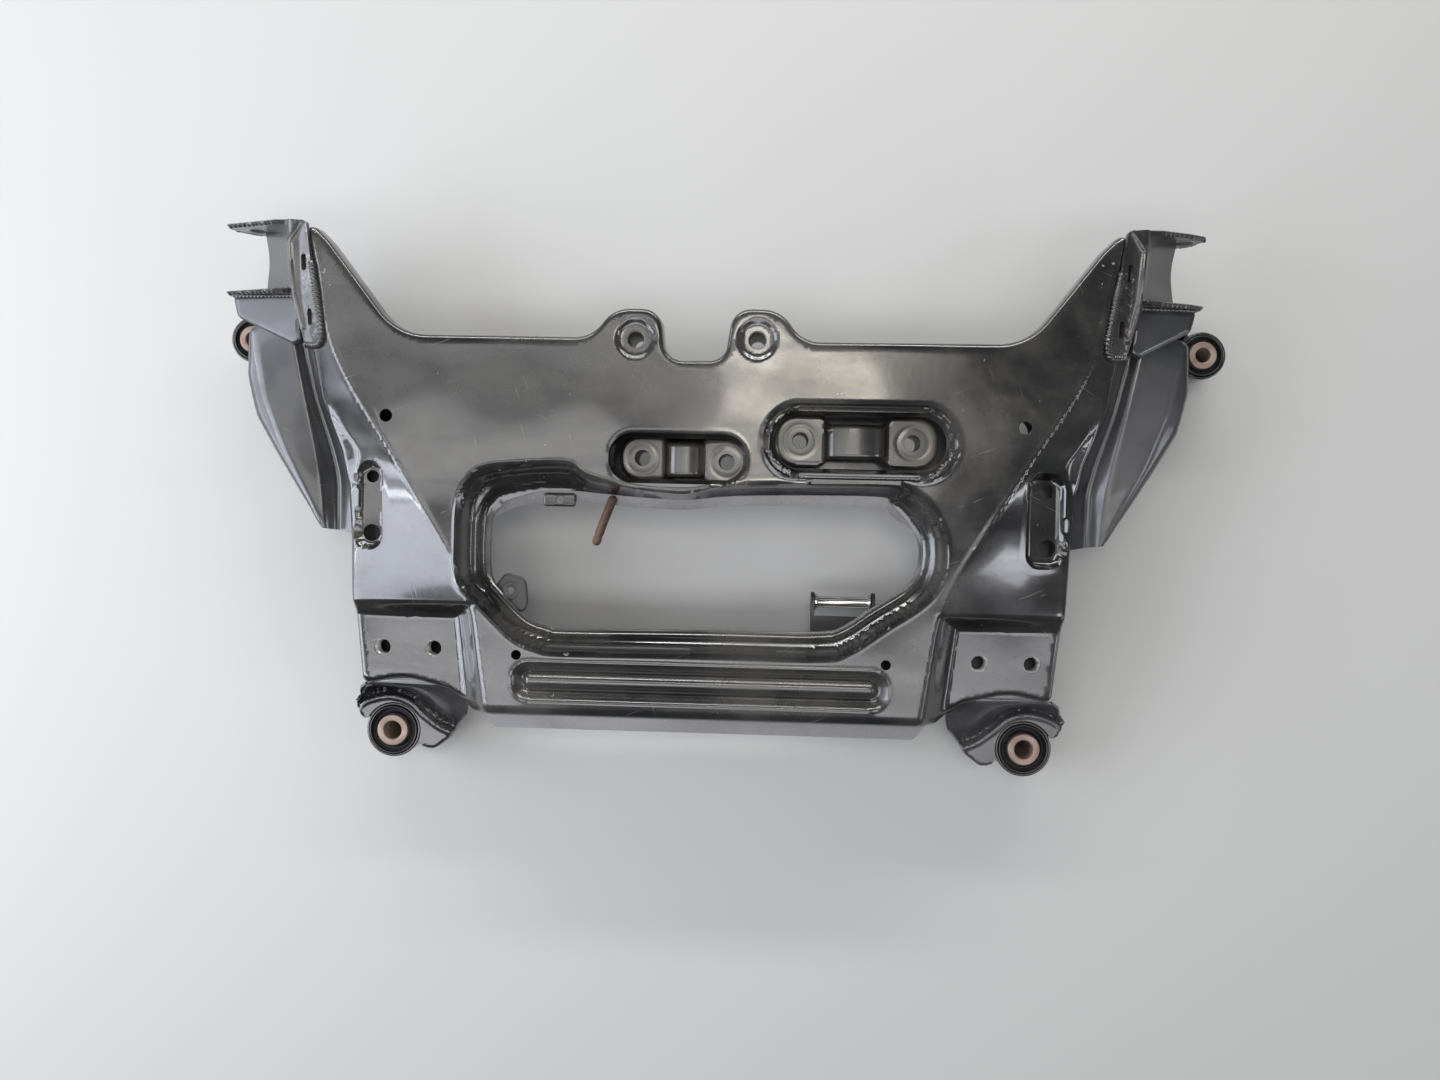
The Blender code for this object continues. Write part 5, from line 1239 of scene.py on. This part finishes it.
# %% Strut spool, hanger pin and tabs
spool = rounded([(3.6, 98.4, 0.5), (7.6, 98.4, 0.6), (7.6, 100.6, 0.6), (5.4, 101.2, 0.6), (5.4, 146.8, 0.6),
                 (7.6, 147.4, 0.6), (7.6, 149.6, 0.6), (3.6, 149.6, 0.5)], 5)
dress(lathe("strut_tube", spool, (-83.0, 46.0), 64, axis="x"), bright_steel, "strut_spool",
      slot_name="bare_steel")

pin_knots = [(-83.5, 6.0, 92.8), (-87.0, -4.0, 93.8), (-92.0, -17.0, 92.8), (-97.0, -31.0, 90.8)]
pin_path, pin_run = resampled(curve(pin_knots, 10, False), 0.8)
pin_radius = 3.9 - 0.6 * np.exp(-((pin_run - pin_run[-1] + 5.0) / 1.3) ** 2)
pin_radius = (pin_radius + 0.08 * np.sin(pin_run * 3.1))[:, None] * np.ones((1, 20))
dress(put_tube("exhaust_hanger", pin_path, pin_radius, 20), pin_rust, "hanger_pin", slot_name="rusty_steel")

tab_loop = slot((-145.0, -116.0), (-1.0, 11.0), 3.0)
tab = sheet("harness_plate", tab_loop, [circle((-130.5, 5.0), 3.4, 24)],
            lambda plan: 91.4 - roll(nearest(plan, tab_loop)[0], 1.2, 0.3, 1.0), 2.0, 1.2, 3.0)
dress(tab, bracket_paint, "harness_tab")
lobe_loop = rounded([(-188.0, -73.0, 4.0), (-178.0, -60.0, 8.0), (-160.0, -66.0, 10.0), (-158.0, -86.0, 8.0),
                     (-162.0, -98.0, 6.0), (-176.0, -90.0, 6.0)])
LOBE_HOLE = (-174.0, -77.0)


def lobe_height(plan):
    """Level plate with a turned edge and a raised ring round its hole."""
    ring = 0.8 * np.exp(-((np.hypot(*(plan - LOBE_HOLE).T) - 6.5) / 1.4) ** 2)
    return 86.0 - roll(nearest(plan, lobe_loop)[0], 1.2, 0.3, 1.0) + ring


lobe = sheet("cable_lobe", lobe_loop, [circle(LOBE_HOLE, 3.2, 24)], lobe_height, 2.5, 1.2, 3.0)
dress(lobe, inner_paint, "cable_tab")

# %% [markdown]
# ## Weld beads
#
# The sheets are joined by gas-shielded welds. They matter for the look, because a seam without a
# bead reads as a gap. Each path follows the two pieces that it joins, a little above the gap.

# %% Beads along the seams
def seams(label):
    """Five seams of one side, as if it were the right one, each with the size of its bead."""
    front, rear = EAR_Y
    tongue = curve([(353.0, 135.6), (338.4, 135.4), (334.6, 149.0), (338.8, 176.0), (343.2, 203.0)], 8, False)
    (mx, my), radius = MOUNTS[f"{label}_corner"][:2]
    angle = np.radians(np.linspace(30.0, 196.0, 30))
    ring = np.column_stack([abs(mx) + (radius + 0.6) * np.cos(angle), my + (radius + 0.6) * np.sin(angle),
                            54.6 + 0.0 * angle])
    under, behind, before = front - 0.6, rear - 5.4, front + 5.0
    return {
        "tongue": (np.column_stack([tongue, body(tongue) + 2.2]), 3.0),
        "corner": (ring, 2.3),
        "gusset": (np.array([(366.0, under, 103.6), (385.0, under, 101.2),
                             (REACH[label] - 9.0, under, 97.9)]), 1.8),
        "web_rear": (np.array([(WEB_TOP + 4.0, behind, 110.0), (WEB_FOOT - 3.0, behind, 79.0)]), 1.8),
        "web_front": (np.array([(WEB_TOP + 6.0, before, 109.0), (WEB_FOOT, before, 78.0)]), 1.8)}


seed = 0
for label, side in SIDES:
    for name, (path, size) in seams(label).items():
        dress(bead(f"weld_{name}_{label}", mirrored(path, side), size, seed), weld_paint)
        seed += 1
print("beads:", seed)

# %% [markdown]
# ## Finishes for the solids that stay
#
# The lower pressing, the trays inside the side arms and the strut bracket already have the right
# shape. They keep their solids. The lower pressing shows only its front flange, whose light bluish
# haze is partly painted sheen that stands for the bright reflection on it, and the others get the
# dull paint of a place that is never polished.

# %% Materials on the kept solids
for name, finish in (("lower_shell", flange_haze_and_painted_sheen), ("side_arm_lower_left", inner_paint),
                     ("side_arm_lower_right", inner_paint), ("strut_bracket", strut_paint)):
    for material_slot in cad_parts[name].material_slots:
        material_slot.material = finish
print("kept solids: 4")

# %% [markdown]
# ## Floor, light and camera
#
# The stage is a plain pale floor. A black gloss surface shows its lamps more than its own colour,
# so each lamp stands where its mirror image should lie: wide soft boxes above, which grey the top
# plane, a cool one at the left, which brightens the slopes that face it, and narrow strips at the
# left and behind, which draw bright lines along the folds. The camera stands where the photographer
# stood, nearly straight above, a little over a metre up.

# %% Floor, lamps and world
FLOOR_SIZE, FLOOR_COLOUR = 8.0, (0.62, 0.62, 0.60, 1.0)
bpy.ops.mesh.primitive_plane_add(size=FLOOR_SIZE, location=(0.0, 0.0, 0.0))
floor = bpy.context.object
floor.name = "floor"
pale = bpy.data.materials.new("pale_floor")
pale.use_nodes = True
matt = pale.node_tree.nodes["Principled BSDF"].inputs
matt["Base Color"].default_value, matt["Roughness"].default_value = FLOOR_COLOUR, 0.9
floor.data.materials.append(pale)


def pose(right, up, back, place):
    """Matrix whose columns are three axes and a place."""
    return Matrix([[right[k], up[k], back[k], place[k]] for k in range(3)] + [[0, 0, 0, 1]])


def soft_box(name, place, aim, size, power, colour):
    """Area lamp that looks from its place to a point."""
    lamp = bpy.data.lights.new(name, "AREA")
    lamp.shape, lamp.size, lamp.size_y = "RECTANGLE", size[0], size[1]
    lamp.energy, lamp.color = power, colour
    made = bpy.data.objects.new(name, lamp)
    bpy.context.scene.collection.objects.link(made)
    back = unit(np.array(place, float) - np.array(aim, float))
    side = unit(np.cross([0.0, 1.0, 0.001], back))
    over = np.cross(back, side)
    made.matrix_world = pose(side, over, back, place)


# name: (place, point it looks at, size, power, colour)
LAMPS = {
    "box_above": ((-0.45, 0.12, 2.2), (-0.1, 0.1, 0.0), (1.9, 0.22), 3.4, (1.0, 0.985, 0.97)),
    "box_above_rear": ((-0.5, 0.54, 2.2), (-0.1, 0.1, 0.0), (1.7, 0.26), 2.6, (0.98, 0.985, 1.0)),
    "box_over_front": ((-0.15, -0.62, 2.2), (-0.1, -0.2, 0.0), (2.4, 0.56), 13.0, (0.96, 0.96, 1.0)),
    "box_sheen": ((0.12, 0.36, 2.15), (0.0, 0.0, 0.0), (0.45, 0.26), 3.4, (1.0, 0.92, 0.80)),
    "box_left": ((-1.45, -0.15, 1.15), (0.0, 0.0, 0.1), (0.7, 1.2), 13.0, (0.84, 0.88, 1.0)),
    "box_left_low": ((-1.7, 0.0, 0.42), (0.0, 0.0, 0.15), (0.26, 1.4), 6.0, (0.84, 0.88, 1.0)),
    "box_right": ((1.35, -0.2, 1.3), (0.25, -0.05, 0.1), (0.3, 0.4), 2.2, (0.90, 0.92, 1.0)),
    "box_right_low": ((1.7, -0.6, 0.7), (0.2, -0.1, 0.1), (0.12, 0.8), 1.8, (0.93, 0.95, 1.0)),
    "box_rear": ((0.1, 1.5, 1.1), (0.0, 0.0, 0.1), (2.2, 0.5), 3.0, (0.97, 0.98, 1.0)),
    "strip_rear": ((0.0, 1.55, 0.95), (0.0, 0.0, 0.1), (2.2, 0.12), 16.0, (1.0, 0.99, 0.97)),
    "strip_left": ((-1.55, 0.0, 0.7), (0.0, 0.0, 0.1), (0.08, 1.4), 5.0, (0.88, 0.92, 1.0))}
for name, values in LAMPS.items():
    soft_box(name, *values)
world = bpy.data.worlds.new("studio")
world.use_nodes = True
sky = world.node_tree.nodes["Background"].inputs
sky["Color"].default_value, sky["Strength"].default_value = (0.92, 0.95, 1.0, 1.0), 0.12
bpy.context.scene.world = world
bpy.context.scene.view_settings.view_transform = "Standard"

# %% Camera at the photograph's angle
view = bpy.data.cameras.new("photo_view")
view.sensor_fit, view.sensor_width, view.lens = "HORIZONTAL", 36.0, 27.0
camera = bpy.data.objects.new("photo_view", view)
bpy.context.scene.collection.objects.link(camera)
camera.matrix_world = pose((0.998968, 0.023002, -0.039164), (-0.024099, 0.999324, -0.027768),
                           (0.038499, 0.028683, 0.998847), (0.042, -0.003, 1.039))
bpy.context.scene.camera = camera
print("camera height:", round(camera.location.z, 3), "m")
